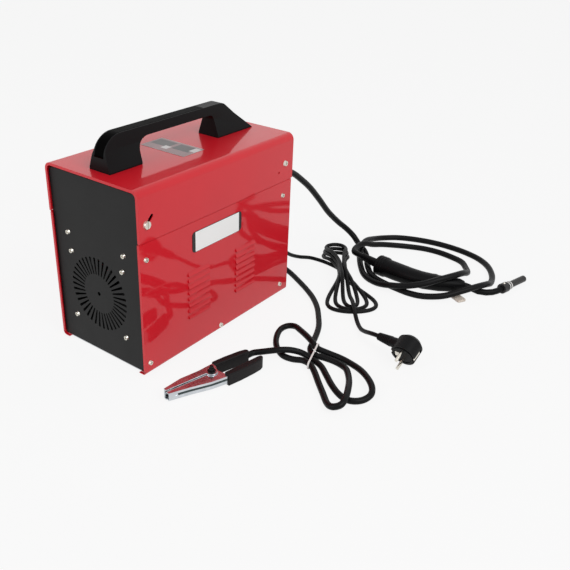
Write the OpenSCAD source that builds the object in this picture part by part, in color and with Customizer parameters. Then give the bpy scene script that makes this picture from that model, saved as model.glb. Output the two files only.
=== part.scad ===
// MIG welding machine: sheet metal case with a hinged hood, a wire feeder on
// the upper deck, a transformer and a fan below it, and three free leads.
// Origin: middle of the footprint, on the floor. Rear = +Y, left side = -X.

/* [Case] */
// Length of the case, front to rear
case_l = 340; // [320:1:360]
// Width over the hood
case_w = 182; // [178:1:190]
// Height of the case without its feet
case_h = 279; // [275:1:290]
// Height of the rubber feet
foot_h = 5; // [3:0.5:8]
// Thickness of the sheet metal
sheet = 1.2; // [1:0.1:1.5]
// Height of the hood's lower edge over the floor
seam_z = 211; // [205:1:216]
// Step from the hood in to the side panel
side_step = 1.5; // [1.5:0.1:2]
// Depth of the end panels behind the case's edge
recess = 4; // [3:0.5:6]

/* [Louvres] */
// Louvres in one group
louvre_n = 8; // [4:1:8]
// Distance between louvres
louvre_pitch = 10; // [8:0.5:10.5]
// Length of one louvre
louvre_l = 46.5; // [40:0.5:48]
// How far a louvre stands out
louvre_out = 2.5; // [2:0.1:3]

/* [Fan] */
// Side of the fan frame
fan_s = 120; // [119:1:122]
// Distance between the fan screws
fan_pitch = 105; // [104:0.5:106]
// Radial slots in the rear panel
slot_n = 38; // [30:1:40]

/* [Handle] */
// Height of the handle over the hood
handle_h = 49; // [46:1:52]
// Width of the grip
grip_w = 20; // [18:1:24]

/* [Cords] */
// Diameter of the torch hose
torch_d = 11; // [10.5:0.1:11]
// Diameter of the mains lead
mains_d = 7; // [6.5:0.1:7]
// Diameter of the earth lead
earth_d = 9.5; // [9:0.1:9.5]

/* [Hidden] */
$fn = 32;
eps = 0.01;
top_z = foot_h + case_h;
end_y = case_l / 2;
panel_y = end_y - recess;
side_x = case_w / 2 - side_step;
in_x = side_x - sheet;
hood_h = top_z - seam_z;
lip_z = seam_z + 0.479 * hood_h;
out_x = case_w / 2 + 10;
red = "firebrick";
black = [0.12, 0.12, 0.12];
steel = "silver";

// ---- helpers ----
// A profile in X and Z, extruded along Y from y0
module xz(y0, l) {
    translate([0, y0 + l, 0]) rotate([90, 0, 0]) linear_extrude(l) children();
}
// A profile in Y and Z, extruded along X from x0
module yz(x0, l) {
    translate([x0, 0, 0]) rotate([90, 0, 90]) linear_extrude(l) children();
}
// A box from its low corner to its high corner
module box(a, b) {
    translate(a) cube(b - a);
}
// Children on both sides, mirrored across the middle plane
module both_sides() {
    children();
    mirror([1, 0, 0]) children();
}
// A cylinder along X, from x0
module rod_x(x0, l, r) {
    translate([x0, 0, 0]) rotate([0, 90, 0]) cylinder(r = r, h = l);
}
// A cylinder along -Y, from y0
module rod_front(y0, l, r) {
    translate([0, y0, 0]) rotate([90, 0, 0]) cylinder(r = r, h = l);
}
// Rectangle with rounded corners, centred
module round_rect(w, h, r) {
    square([w - 2 * r, h], center = true);
    square([w, h - 2 * r], center = true);
    for (sx = [-1, 1], sy = [-1, 1]) translate([sx * (w / 2 - r), sy * (h / 2 - r)]) circle(r);
}
// Outline with two rounded corners at the bottom
module tub(w, z0, z1, r) {
    translate([-w / 2, z0 + r]) square([w, z1 - z0 - r]);
    translate([-w / 2 + r, z0]) square([w - 2 * r, r + eps]);
    for (s = [-1, 1]) translate([s * (w / 2 - r), z0 + r]) circle(r);
}
// Outline with two rounded corners at the top
module arch(w, z0, z1, r) {
    translate([0, z0 + z1]) mirror([0, 1]) tub(w, z0, z1, r);
}
// Pan head screw: head up from z = 0, shank down, cross recess
module pan_screw(r, head_r, head_h, l) {
    difference() {
        union() {
            cylinder(r1 = head_r, r2 = head_r * 0.78, h = head_h);
            translate([0, 0, -l]) cylinder(r = r, h = l + eps);
        }
        for (a = [0, 90]) rotate([0, 0, a]) translate([0, 0, head_h]) {
            cube([head_r * 1.1, head_r * 0.25, head_h], center = true);
        }
    }
}

// ---- screw places ----
screw_r = 2;
hole_r = 2.1;
fan_c = [2.8, 104];
fan_screws_xz = [for (sx = [-1, 1], sz = [-1, 1]) fan_c + fan_pitch / 2 * [sx, sz]];
rear_screws_xz = [[59, 185], [-54, 182]];
front_screws_xz = [[case_w / 2 - 31, 185], [17 - case_w / 2, 182]];
side_screws_yz = [
    [end_y - 11.2, 185], [22.3 - end_y, 185.8], [end_y - 10, 23], [21 - end_y, 23.4], [5.7, 14]
];
pivot_yz = [20.5 - end_y, seam_z + 0.392 * hood_h];
latch_yz = [end_y - 14, seam_z + 0.329 * hood_h];
latch_end_yz = [end_y - 24, seam_z + 0.466 * hood_h];
stop_yz = [36.3 - end_y, seam_z + 0.229 * hood_h];
pivot_r = 2.55;
fit = 0.05;

// Holes of the side screws in one side, along X
module side_holes(r) {
    for (p = side_screws_yz) translate([-case_w / 2 - 1, p[0], p[1]]) rotate([0, 90, 0]) {
        cylinder(r = r, h = 10);
    }
}

// ---- case ----
tray_z = foot_h + sheet;
flange = 16;
module base_tray() color("dimgray") difference() {
    union() {
        box([-in_x + 5, -end_y + recess, tray_z], [in_x - 5, end_y - recess, tray_z + sheet]);
        intersection() {
            xz(32 - end_y, case_l - 56) difference() {
                tub(2 * in_x, tray_z, 32, 4.8);
                tub(2 * (in_x - sheet), tray_z + sheet, 40, 3.6);
            }
            box([-out_x, -end_y, 0], [out_x, end_y, 32]);
        }
    }
    both_sides() side_holes(hole_r);
}

foot_x = side_x - 25.5;
foot_y = end_y - 30;
module rubber_feet() color(black) for (sx = [-1, 1], sy = [-1, 1]) {
    translate([sx * foot_x, sy * foot_y, 0]) cylinder(r1 = 9, r2 = 11, h = tray_z);
}

// One pressed louvre: outward is -X, its mouth is at the bottom
module louvre(y0, z0) {
    out = louvre_out;
    skin = [[0, 7], [-out, 1.4], [-out, 0], [-out + 1, 0], [-out + 1, 1.1], [eps, 5]];
    cheek = [[eps, 0], [-out, 0], [-out, 1.4], [eps, 7]];
    translate([-side_x, 0, z0]) {
        xz(y0, louvre_l) polygon(skin);
        xz(y0, 1) polygon(cheek);
        xz(y0 + louvre_l - 1, 1) polygon(cheek);
    }
}
louvre_y = [32, -75.5];
louvre_z = 57.5;
module side_panel() difference() {
    union() {
        intersection() {
            union() {
                xz(-end_y, case_l) difference() {
                    tub(2 * side_x, foot_h, seam_z, 6);
                    tub(2 * in_x, tray_z, seam_z + 1, 4.8);
                }
                for (y = [-end_y, end_y - sheet]) {
                    box([-side_x, y, foot_h + 6], [-side_x + 4, y + sheet, seam_z - 2]);
                }
            }
            box([-out_x, -end_y, 0], [-side_x + 13.5, end_y, top_z]);
        }
        box([-side_x, -panel_y, seam_z - 5], [-in_x, panel_y, lip_z]);
        for (y = louvre_y, i = [0 : louvre_n - 1]) louvre(y, louvre_z + i * louvre_pitch);
    }
    for (y = louvre_y, i = [0 : louvre_n - 1]) translate([0, y + 1, louvre_z + i * louvre_pitch]) {
        box([-side_x - 1 + eps, 0, 0], [-in_x + 1, louvre_l - 2, 4.4]);
    }
    box([-side_x - 1, -end_y - 1, seam_z - 2.6], [-side_x + 0.6, end_y + 1, seam_z]);
    side_holes(hole_r);
    translate([-out_x, pivot_yz[0], pivot_yz[1]]) rod_x(0, 20, pivot_r + fit);
    translate([-out_x, latch_yz[0], latch_yz[1]]) {
        rod_x(0, 20, 3.4);
        box([0, -14, 0], [20, 3.4, 20]);
    }
}
module side_panel_left() color(red) side_panel();
module side_panel_right() color(red) mirror([1, 0, 0]) side_panel();

// Tapered slots in a ring around the fan's axis
module grille() {
    for (i = [0 : slot_n - 1]) rotate(i * 360 / slot_n) {
        polygon([[31, -1.1], [56, -2], [57, 0], [56, 2], [31, 1.1], [30, 0]]);
    }
}
panel_top = top_z - 7;
// An end panel: plate and two side flanges; its outer face is at y = panel_y
module end_panel(flange_l) {
    xz(panel_y - sheet, sheet) intersection() {
        arch(2 * in_x, tray_z + sheet, panel_top, 9);
        tub(2 * in_x, tray_z, top_z, 4.8);
    }
    both_sides() {
        box([-in_x, panel_y - flange_l, 12], [-in_x + sheet, panel_y - sheet + eps, latch_yz[1] - 9]);
    }
}
module rear_panel() color("dimgray") difference() {
    end_panel(flange);
    xz(panel_y - 3, 6) {
        translate(fan_c) grille();
        translate(fan_c) circle(3);
        for (p = concat(fan_screws_xz, rear_screws_xz)) translate(p) circle(hole_r);
    }
    both_sides() side_holes(hole_r);
}

torch_xz = [-50, 201];
mains_xz = [-34, 50];
earth_xz = [-12, 26];
knob_xz = [40, top_z - 54];
lamp_xz = [case_w / 2 - 25, top_z - 26];
power_xz = [50, 150];
range_xz = [50, 100];
rocker_w = 22;
rocker_h = 30;
pot_r = 4.5;
lamp_r = 5;
module front_panel() color("dimgray") difference() {
    mirror([0, 1, 0]) end_panel(26);
    xz(-panel_y - 3, 6) {
        translate(torch_xz) circle(10.1);
        translate(mains_xz) circle(6.1);
        translate(earth_xz) circle(7.1);
        translate(knob_xz) circle(pot_r + 0.1);
        translate(lamp_xz) circle(lamp_r + 0.1);
        for (p = [power_xz, range_xz]) translate(p) square([rocker_w + 0.2, rocker_h + 0.2], center = true);
        for (p = front_screws_xz) translate(p) circle(hole_r);
    }
    both_sides() side_holes(hole_r);
}

deck_z = 172;
deck_x = in_x - sheet - 0.1;
module mid_deck() color("gray") difference() {
    union() {
        box([-deck_x, -panel_y + sheet, deck_z - sheet], [deck_x, panel_y - sheet, deck_z]);
        for (s = [-1, 1]) {
            y = s * (panel_y - 1.5 * sheet);
            box([-deck_x + 4, y - sheet / 2, deck_z - eps], [deck_x - 4, y + sheet / 2, deck_z + 21]);
        }
    }
    xz(0, end_y) for (p = rear_screws_xz) translate(p) circle(hole_r);
    xz(-end_y, end_y) for (p = front_screws_xz) translate(p) circle(hole_r);
    xz(-end_y, end_y) translate(torch_xz) circle(14.5);
    translate([20, roll_y - 30, deck_z - 12]) cylinder(r = 12, h = 20);
}

module case_screws() color(steel) {
    for (p = side_screws_yz) both_sides() translate([-side_x, p[0], p[1]]) {
        rotate([0, -90, 0]) pan_screw(screw_r, 4, 2.4, 8);
    }
    for (p = concat(rear_screws_xz, fan_screws_xz)) translate([p[0], panel_y, p[1]]) {
        rotate([-90, 0, 0]) pan_screw(screw_r, 4, 2.4, 8);
    }
    for (p = front_screws_xz) translate([p[0], -panel_y, p[1]]) {
        rotate([90, 0, 0]) pan_screw(screw_r, 4, 2.4, 8);
    }
}

// ---- fan ----
fan_y = panel_y - sheet;
fan_t = 38;
axle_r = 2;
module fan_frame() color(black) difference() {
    union() {
        difference() {
            xz(fan_y - fan_t, fan_t) translate(fan_c) round_rect(fan_s, fan_s, 6);
            xz(fan_y - fan_t - 1, fan_t + 2) translate(fan_c) circle(57.5);
            for (a = [0 : 90 : 270]) translate([fan_c[0], 0, fan_c[1]]) rotate([0, a, 0]) {
                box([50, fan_y - fan_t + 5, -70], [70, fan_y - 5, 70]);
            }
        }
        difference() {
            xz(fan_y - fan_t + 5, fan_t - 10) translate(fan_c) circle(59.5);
            xz(fan_y - fan_t, fan_t) translate(fan_c) circle(57.5);
        }
        for (p = fan_screws_xz) xz(fan_y - fan_t, fan_t) translate(p) circle(4.2);
        for (a = [45 : 90 : 315]) translate([fan_c[0], fan_y - fan_t + 4, fan_c[1]]) rotate([0, a, 0]) {
            box([15, -3.5, -2.5], [58.5, -0.5, 2.5]);
        }
        xz(fan_y - fan_t, 4) translate(fan_c) circle(20);
        xz(fan_y - fan_t, 28) translate(fan_c) circle(axle_r);
    }
    for (p = fan_screws_xz) xz(fan_y - fan_t - 1, fan_t + 2) translate(p) circle(hole_r);
}
blade_n = 7;
module fan_impeller() color(black) difference() {
    union() {
        xz(fan_y - fan_t + 5, 28) translate(fan_c) circle(20);
        translate([fan_c[0], fan_y - fan_t + 19, fan_c[1]]) {
            for (i = [0 : blade_n - 1]) rotate([0, i * 360 / blade_n, 0]) rotate([38, 0, 0]) {
                translate([15, -16.5, -1]) cube([39, 33, 2]);
            }
        }
    }
    xz(fan_y - fan_t, fan_t) translate(fan_c) circle(axle_r + fit);
}

// ---- power parts below the deck ----
core_y = -45;
core_w = 120;
core_h = 100;
core_t = 56;
leg_w = 40;
core_z = tray_z + sheet;
module transformer_core() color("slategray") translate([0, core_y, core_z]) {
    difference() {
        xz(-core_t / 2, core_t) translate([-core_w / 2, 2]) square([core_w, core_h]);
        for (s = [-1, 1]) xz(-core_t / 2 - 1, core_t + 2) {
            translate([s * (leg_w / 2 + 10) - 10, 22]) square([20, 60]);
        }
    }
    for (s = [-1, 1]) box([-core_w / 2 - 6, s * 20 - 6, 0], [core_w / 2 + 6, s * 20 + 6, 2 + eps]);
}
// A winding round the middle leg, from z0
module winding(z0, h, grow) translate([0, core_y, core_z + z0]) linear_extrude(h) {
    difference() {
        round_rect(leg_w + 2 * grow, core_t + 2 * grow, 6);
        square([leg_w, core_t], center = true);
    }
}
module transformer_windings() color("peru") {
    winding(23, 31, 18);
    winding(56, 24, 19);
}

sink_c = [in_x - 48.3, panel_y - 84];
module rectifier_heatsink() color("silver") translate([sink_c[0], sink_c[1], core_z]) {
    difference() {
        union() {
            box([-35, -4, 0], [35, 4, 90]);
            for (i = [-6 : 6]) box([i * 5 - 1, 4 - eps, 0], [i * 5 + 1, 32, 90]);
        }
        for (x = [-20, 20], z = [28, 62]) translate([x, -5, z]) rotate([-90, 0, 0]) cylinder(r = 6.4, h = 4);
    }
}
module rectifier_diodes() color("goldenrod") translate([sink_c[0], sink_c[1], core_z]) {
    for (x = [-20, 20], z = [28, 62]) translate([x, -1, z]) rotate([90, 0, 0]) {
        cylinder(r = 6.35, h = 9);
        cylinder(r = 1.5, h = 16);
    }
}
board_z = deck_z - sheet - 12;
module control_board() color("darkgreen") translate([0, panel_y - 126, board_z]) {
    box([-60, 0, -1.6], [20, 70, 0]);
    for (x = [-55, 15], y = [5, 65]) translate([x, y, -eps]) cylinder(r = 3, h = 12 + eps);
    box([-50, 10, -17], [-30, 26, -1.6 + eps]);
    for (x = [-10, 6]) translate([x, 20, -22]) cylinder(r = 6, h = 21);
    box([-50, 40, -8], [-20, 58, -1.6 + eps]);
}

// ---- front panel parts ----
// A gland: ring outside, shank through the panel, nut inside; exit face at -y_out
module gland(place, hole, nose_r, y_out) translate([place[0], 0, place[1]]) {
    rod_front(-panel_y, 6, hole + 4);
    rod_front(-panel_y - 6 + eps, y_out - panel_y - 6, nose_r);
    rod_front(-panel_y + 8, 9, hole);
    rod_front(-panel_y + sheet + 4, 4, hole + 3.5);
}
gland_y = 192;
module torch_gland() color(black) gland(torch_xz, 10, 9, gland_y);
module mains_gland() color(black) gland(mains_xz, 6, 6, gland_y);
module earth_gland() color(black) gland(earth_xz, 7, 7, gland_y);

rocker_axle = 1.5;
rocker_tilt = 9;
pivot_d = 5;
module rocker_housings() color(black) for (p = [power_xz, range_xz]) translate([p[0], -panel_y, p[1]]) {
    difference() {
        union() {
            xz(-2, 2) round_rect(rocker_w + 4, rocker_h + 4, 2);
            xz(-eps, 20) square([rocker_w, rocker_h], center = true);
        }
        xz(-3, 18) square([rocker_w - 4, rocker_h - 3], center = true);
        translate([0, pivot_d, 0]) rod_x(-rocker_w / 2 + 0.5, rocker_w - 1, rocker_axle + fit);
    }
}
module rocker(place, colour) color(colour) translate([place[0], -panel_y + pivot_d, place[1]]) {
    rotate([-rocker_tilt, 0, 0]) {
        yz(-rocker_w / 2 + 2.5, rocker_w - 5) {
            polygon([[-9, -12.1], [-6, 0], [-9, 12.1], [4, 11.8], [6, 6], [6, -6], [4, -11.8]]);
        }
        rod_x(-rocker_w / 2 + 0.8, rocker_w - 1.6, rocker_axle);
    }
}
module power_rocker() rocker(power_xz, "red");
module range_rocker() rocker(range_xz, black);

shaft_r = 3;
module speed_pot() color("gray") translate([knob_xz[0], 0, knob_xz[1]]) difference() {
    union() {
        rod_front(-panel_y + sheet + 12, 12, 9);
        rod_front(-panel_y + sheet + 1, 4.5, pot_r);
        rod_front(-panel_y, 2, 7);
    }
    rod_front(-panel_y + sheet + 8, 20, shaft_r + fit);
}
module speed_knob() color(black) translate([knob_xz[0], 0, knob_xz[1]]) {
    rod_front(-panel_y + sheet + 6, 14, shaft_r);
    difference() {
        union() {
            rod_front(-panel_y - 3, 5, 16);
            rod_front(-panel_y - 8 + eps, 12, 12);
        }
        translate([0, -panel_y - 20, 6]) cube([1.5, 2, 10], center = true);
    }
}
module thermal_lamp() color("orange") translate([lamp_xz[0], 0, lamp_xz[1]]) {
    rod_front(-panel_y + 8, 8 + 2, lamp_r);
    rod_front(-panel_y, 1.5, lamp_r + 1.5);
    translate([0, -panel_y - 1.5, 0]) sphere(r = lamp_r - 1);
}

// ---- hood ----
hood_r = 11;
hood_return = 4;
module hood() color(red) difference() {
    union() {
        xz(-end_y, case_l) difference() {
            arch(case_w, seam_z, top_z, hood_r);
            arch(case_w - 2 * sheet, seam_z - 1, top_z - sheet, hood_r - sheet);
        }
        xz(end_y - sheet, sheet) difference() {
            arch(case_w, seam_z, top_z, hood_r);
            arch(case_w - 2 * hood_return, seam_z - 1, top_z - hood_return, hood_r - hood_return);
        }
        box([-78, -end_y, top_z - hood_return], [78, -end_y + sheet, top_z - eps]);
    }
    both_sides() {
        translate([-out_x, pivot_yz[0], pivot_yz[1]]) rod_x(0, 20, pivot_r + fit);
        translate([-out_x, stop_yz[0], stop_yz[1]]) rod_x(0, 20, 2);
        hull() for (p = [latch_yz, latch_end_yz]) translate([-out_x, p[0], p[1]]) rod_x(0, 20, 2.5);
    }
    for (p = handle_screws_xy) translate([p[0], p[1], top_z - 5]) cylinder(r = hole_r, h = 10);
}

// ---- carry handle ----
handle_back = end_y - 20;
handle_front = 16.5 - end_y;
handle_screws_xy = [for (x = [-9, 9], y = [handle_back - 30, handle_front + 53.5]) [x, y]];
grip_z = top_z + handle_h;
grip_under = grip_z - 14;
// Points of an arc
function arc(c, r, a0, a1, n) =
    [for (i = [0 : n]) let (a = a0 + (a1 - a0) * i / n) c + r * [cos(a), sin(a)]];
handle_side = concat(
    [[handle_back, top_z]],
    arc([handle_back - 32, grip_z - 32], 32, 0, 90, 10),
    [[handle_front + 67.5, grip_z]],
    arc([handle_front + 67.5, grip_z - 20], 20, 90, 133, 4),
    [[handle_front, top_z]],
    [[handle_front + 83.5, top_z]],
    arc([handle_front + 92.5, grip_under - 9], 9, 180, 90, 4),
    arc([handle_back - 82, grip_under - 21], 21, 90, 0, 8),
    [[handle_back - 60, top_z]]
);
base_w = 40;
module carry_handle() color(black) difference() {
    intersection() {
        yz(-base_w / 2, base_w) polygon(handle_side);
        xz(-200, 400) polygon([
            [-base_w / 2, top_z], [base_w / 2, top_z], [base_w / 2, top_z + 3],
            [grip_w / 2 + 1, grip_under - 6], [grip_w / 2, grip_z + 1],
            [-grip_w / 2, grip_z + 1], [-grip_w / 2 - 1, grip_under - 6], [-base_w / 2, top_z + 3]
        ]);
    }
    for (p = handle_screws_xy) translate([p[0], p[1], top_z - 1]) cylinder(r = hole_r, h = 14);
}
module handle_screws() color(steel) for (p = handle_screws_xy) {
    translate([p[0], p[1], top_z - sheet]) rotate([180, 0, 0]) pan_screw(screw_r, 4, 2.4, 11);
}
// Shoulder screws on which the hood turns, with a nut behind the lip
module hood_pivot_screws() color(steel) both_sides() {
    translate([-case_w / 2 - 0.1, pivot_yz[0], pivot_yz[1]]) rotate([0, -90, 0]) {
        pan_screw(pivot_r, 5, 2.6, 9);
        translate([0, 0, -9]) cylinder(r = 5, h = 9 - 0.1 - side_step - sheet);
    }
}
module latch_screws() color(steel) both_sides() {
    translate([-case_w / 2, latch_yz[0], latch_yz[1]]) rotate([0, -90, 0]) difference() {
        union() {
            cylinder(r1 = 6.25, r2 = 5.4, h = 3);
            translate([0, 0, -7]) cylinder(r = 2.3, h = 7 + eps);
        }
        translate([0, 0, 3]) cube([14, 1.6, 2.4], center = true);
    }
}
plate_yz = [13.2, 177];
plate_l = 0.325 * case_l;
module name_plate() color("white") yz(-side_x - 0.6, 0.6) translate(plate_yz) round_rect(plate_l, 32, 6);
module info_sticker() color("lightgray") box([-41, -14, top_z], [45, 30.5, top_z + 0.3]);

// ---- wire feeder on the deck ----
wire_x = torch_xz[0];
wire_z = torch_xz[1];
drive_r = 12;
idle_r = 10;
roll_w = 12;
roll_y = 66 - panel_y;
drive_z = wire_z - 0.7 - drive_r;
idle_z = wire_z + 0.7 + idle_r;
plate_x = -36;
arm_yz = [roll_y + 28, 216];
arm_axle = 3;
module feeder_plate() color("gray") difference() {
    union() {
        box([plate_x, roll_y - 40, deck_z], [plate_x + 4, roll_y + 40, 232]);
        box([plate_x, roll_y - 40, deck_z], [plate_x + 24, roll_y + 40, deck_z + 3]);
        translate([0, arm_yz[0], arm_yz[1]]) {
            rod_x(arm_x - 2.5, plate_x + 1 - arm_x + 2.5, arm_axle);
            rod_x(arm_x - 3.5, 3, 5);
        }
    }
    translate([0, roll_y, drive_z]) rod_x(plate_x - 1, 6, 4 + fit);
}
module feeder_motor() color("darkslategray") difference() {
    union() {
        box([plate_x + 4, roll_y - 20, deck_z + 3], [plate_x + 24, roll_y + 20, 225]);
        translate([0, roll_y, 206]) rod_x(plate_x + 24 - eps, 58, 17);
        translate([0, roll_y, 206]) rod_x(plate_x + 82 - 2 * eps, 5, 6);
    }
    translate([0, roll_y, drive_z]) rod_x(plate_x + 3, 12, 4 + fit);
}
module roller(r, axle) difference() {
    union() {
        rod_x(-roll_w / 2, roll_w, r);
        rod_x(-roll_w / 2 - 2, 4, axle + 2);
    }
    rotate([0, 90, 0]) difference() {
        cylinder(r = r + 1, h = 1.6, center = true);
        cylinder(r = r - 1, h = 2, center = true);
    }
}
module drive_roller() color("silver") translate([wire_x, roll_y, drive_z]) {
    roller(drive_r, 4);
    rod_x(0, plate_x + 14 - wire_x, 4);
}
arm_x = wire_x + roll_w / 2 + 1;
arm_t = plate_x - 1 - arm_x;
module pressure_arm() color("dimgray") difference() {
    union() {
        yz(arm_x, arm_t) hull() {
            translate(arm_yz) circle(8);
            translate([roll_y, idle_z]) circle(8);
        }
        yz(arm_x, arm_t) hull() {
            translate([roll_y, idle_z]) circle(8);
            translate([roll_y - 34, idle_z + 12]) circle(5);
        }
        translate([0, roll_y, idle_z]) rod_x(wire_x - roll_w / 2 - 4, roll_w + 6, 3);
    }
    translate([0, arm_yz[0], arm_yz[1]]) rod_x(arm_x - 1, arm_t + 2, arm_axle + fit);
}
module pressure_roller() color("silver") translate([wire_x, roll_y, idle_z]) difference() {
    roller(idle_r, 3);
    rod_x(-roll_w, 2 * roll_w, 3 + fit);
}

spool_r = min(50, (top_z - deck_z - 12) / 2);
spool_c = [70, deck_z + 3 + spool_r];
spindle_r = 8;
spool_x = [14.3 - in_x, -28];
module spool_spindle() color("darkgray") {
    box([-22, spool_c[0] - 20, deck_z], [-18, spool_c[0] + 20, spool_c[1] + 20]);
    box([-22, spool_c[0] - 20, deck_z], [10, spool_c[0] + 20, deck_z + 3]);
    translate([0, spool_c[0], spool_c[1]]) {
        rod_x(spool_x[0] - 4, -20 - spool_x[0] + 4, spindle_r);
        rod_x(-26, 6, 14);
    }
}
module wire_spool() color(black) translate([0, spool_c[0], spool_c[1]]) difference() {
    union() {
        rod_x(spool_x[0], spool_x[1] - spool_x[0], 22);
        for (x = [spool_x[0], spool_x[1] - 2.5]) rod_x(x, 2.5, spool_r);
    }
    rod_x(spool_x[0] - 1, 60, spindle_r + fit);
}
module wire_winding() color("peru") translate([0, spool_c[0], spool_c[1]]) difference() {
    rod_x(spool_x[0] + 2.5, spool_x[1] - spool_x[0] - 5, spool_r - 7);
    rod_x(spool_x[0], 60, 22);
}
module spool_nut() color(black) translate([0, spool_c[0], spool_c[1]]) difference() {
    union() {
        rod_x(spool_x[0] - 7, 6, 14);
        for (a = [0, 90]) rotate([a, 0, 0]) box([spool_x[0] - 9, -3, -14], [spool_x[0] - 5, 3, 14]);
    }
    rod_x(spool_x[0] - 4, 10, spindle_r + fit);
}

// ---- cord geometry ----
// A hump of width 2 * half round a place, 1 at its top
function bump(a, at, half) = abs(a - at) >= half ? 0 : 0.5 * (1 + cos(180 * (a - at) / half));
// A smooth step from 0 at a to 1 at b
function smooth(x, a, b) = let (t = min(1, max(0, (x - a) / (b - a)))) t * t * (3 - 2 * t);
function heading(a) = [cos(a), sin(a)];
// A point of the curve through the route's points p, at i + t
function spline_at(p, i, t) =
    let (a = i == 0 ? 2 * p[0] - p[1] : p[i - 1],
         b = p[i],
         c = p[i + 1],
         d = i + 2 < len(p) ? p[i + 2] : 2 * p[i + 1] - p[i])
    0.5 * (2 * b + (c - a) * t + (2 * a - 5 * b + 4 * c - d) * t * t + (3 * b - 3 * c + d - a) * t * t * t);
function spline(p, n) = concat(
    [for (i = [0 : len(p) - 2], k = [0 : n - 1]) spline_at(p, i, k / n)],
    [p[len(p) - 1]]
);
function unit(v) = v / norm(v);
// Direction of the path at its ring i
function along(p, i) = unit(p[min(i + 1, len(p) - 1)] - p[max(i - 1, 0)]);
// One ring of the tube; its side axis stays level
function ring(c, t, r, n) =
    let (s = unit(cross([0, 0, 1], t)), u = cross(t, s))
    [for (k = [0 : n - 1]) c + r * (s * cos(360 * k / n) + u * sin(360 * k / n))];
// A closed tube of radius r along the path p; d0 and d1 set the ends' directions
module tube(p, r, n, d0, d1) {
    m = len(p);
    rings = [for (i = [0 : m - 1]) ring(p[i], i == 0 ? d0 : i == m - 1 ? d1 : along(p, i), r, n)];
    points = [for (g = rings, q = g) q];
    walls = [for (i = [0 : m - 2], k = [0 : n - 1], h = [0, 1]) let (a = i * n + k, b = i * n + (k + 1) % n)
        h == 0 ? [a, a + n, b] : [b, a + n, b + n]];
    cap0 = [for (k = [0 : n - 1]) k];
    cap1 = [for (k = [n - 1 : -1 : 0]) (m - 1) * n + k];
    polyhedron(points = points, faces = concat([cap0], walls, [cap1]));
}
// Least distance between strands of a path, leaving out its own neighbours
function self_gap(p, d, skip) = min([for (i = [0 : len(p) - 1 - skip], j = [i + skip : len(p) - 1])
    norm(p[i] - p[j])]) - d;

// ---- torch hose ----
// The hose falls from the gland to the floor
torch_fall = [
    [-50, -192, 201], [-50, -212, 200], [-50, -234, 190], [-50, -258, 173], [-50, -288, 149],
    [-50, -322, 116], [-51, -354, 82], [-56, -383, 54], [-65, -404, 34], [-77, -412, 20],
    [-89, -410, 10.5], [-101, -404, 6], [-114, -394, 5.7], [-127, -380, 5.7], [-139.5, -362, 5.7]
];
// First turn, over the neck of the torch and then over the hose itself
torch_turn_1 = [
    [-150, -345, 5.7], [-162, -329, 5.7], [-176, -314, 5.7], [-194, -304, 5.7], [-215, -298.5, 5.7],
    [-240, -295, 5.7], [-265, -294, 5.7], [-290, -300, 6.5], [-317, -317, 10], [-339, -342, 17],
    [-354, -366, 20.5], [-361, -392, 17], [-359, -421, 7.5], [-349, -452, 5.7], [-330, -481, 5.7],
    [-305, -501, 5.7], [-274, -512, 5.7], [-240, -516, 5.7], [-205, -514, 5.7], [-170, -505, 5.7],
    [-138, -490, 5.7], [-117, -469, 6.5], [-108, -443, 11], [-107, -420, 16.5], [-109, -400, 18.2],
    [-114, -381, 13.5], [-124, -361, 7]
];
// Second turn, over the first one and over the nose of the torch
torch_turn_2 = [
    [-137.2, -340.8, 5.7], [-150, -323.4, 5.7], [-164.2, -307, 5.7], [-182, -294.8, 6],
    [-204, -287, 8], [-228, -285, 13], [-254, -291, 18], [-280, -308, 24], [-300, -329, 31],
    [-315, -353, 34], [-321, -378, 31], [-319, -403, 21], [-311, -428, 11], [-299, -450, 6],
    [-282, -469, 5.7], [-256, -477, 5.7], [-228, -480, 5.7], [-200, -476, 5.7], [-173, -464, 6.2],
    [-152, -446, 9], [-137, -424, 14]
];
boot_at = [-143, -337.8, 22.1];
// Back over both and into the boot
torch_back = [
    [-127, -403, 18.5], [-120, -385, 25], [-116, -367, 25.2], [-117.5, -352, 24.6],
    [-122.5, -342, 24], [-132, -338.8, 23.2], boot_at
];
torch_path = spline(concat(torch_fall, torch_turn_1, torch_turn_2, torch_back), 2);
coil_from = 2 * len(torch_fall);
coil_to = coil_from + 2 * (len(torch_turn_1) + len(torch_turn_2));
torch_end = len(torch_path) - 1;
coil_dir0 = along(torch_path, coil_from);
coil_dir1 = along(torch_path, coil_to);
boot_run = [-36, 3.4, -3.5];
torch_turns = [for (i = [coil_from : coil_to]) torch_path[i]];
module torch_lead() color(black) {
    tube([for (i = [0 : coil_from]) torch_path[i]], torch_d / 2, 10, [0, -1, 0], coil_dir0);
    tube([for (i = [coil_to : torch_end]) torch_path[i]], torch_d / 2, 10, coil_dir1, unit(boot_run));
}
module torch_coil() color(black) tube(torch_turns, torch_d / 2, 10, coil_dir0, coil_dir1);

// ---- torch ----
// From the collar to the nose: [centre, half width, half height]
torch_sections = [
    [[-179, -334.4, 18.4], 17.8, 17.8], [[-196, -333, 18.2], 17.8, 17.8],
    [[-199, -332.7, 18], 16.2, 16.2], [[-220, -331.5, 17.6], 16.4, 16.2],
    [[-245, -331.5, 17], 15.8, 15.5], [[-270, -335, 16.2], 15.2, 14.8],
    [[-294, -345, 15.2], 14.2, 13.8], [[-312, -357, 14.6], 13, 12.8],
    [[-324, -366, 14], 11, 10.6], [[-330, -370, 13.6], 7.6, 7.4]
];
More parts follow.
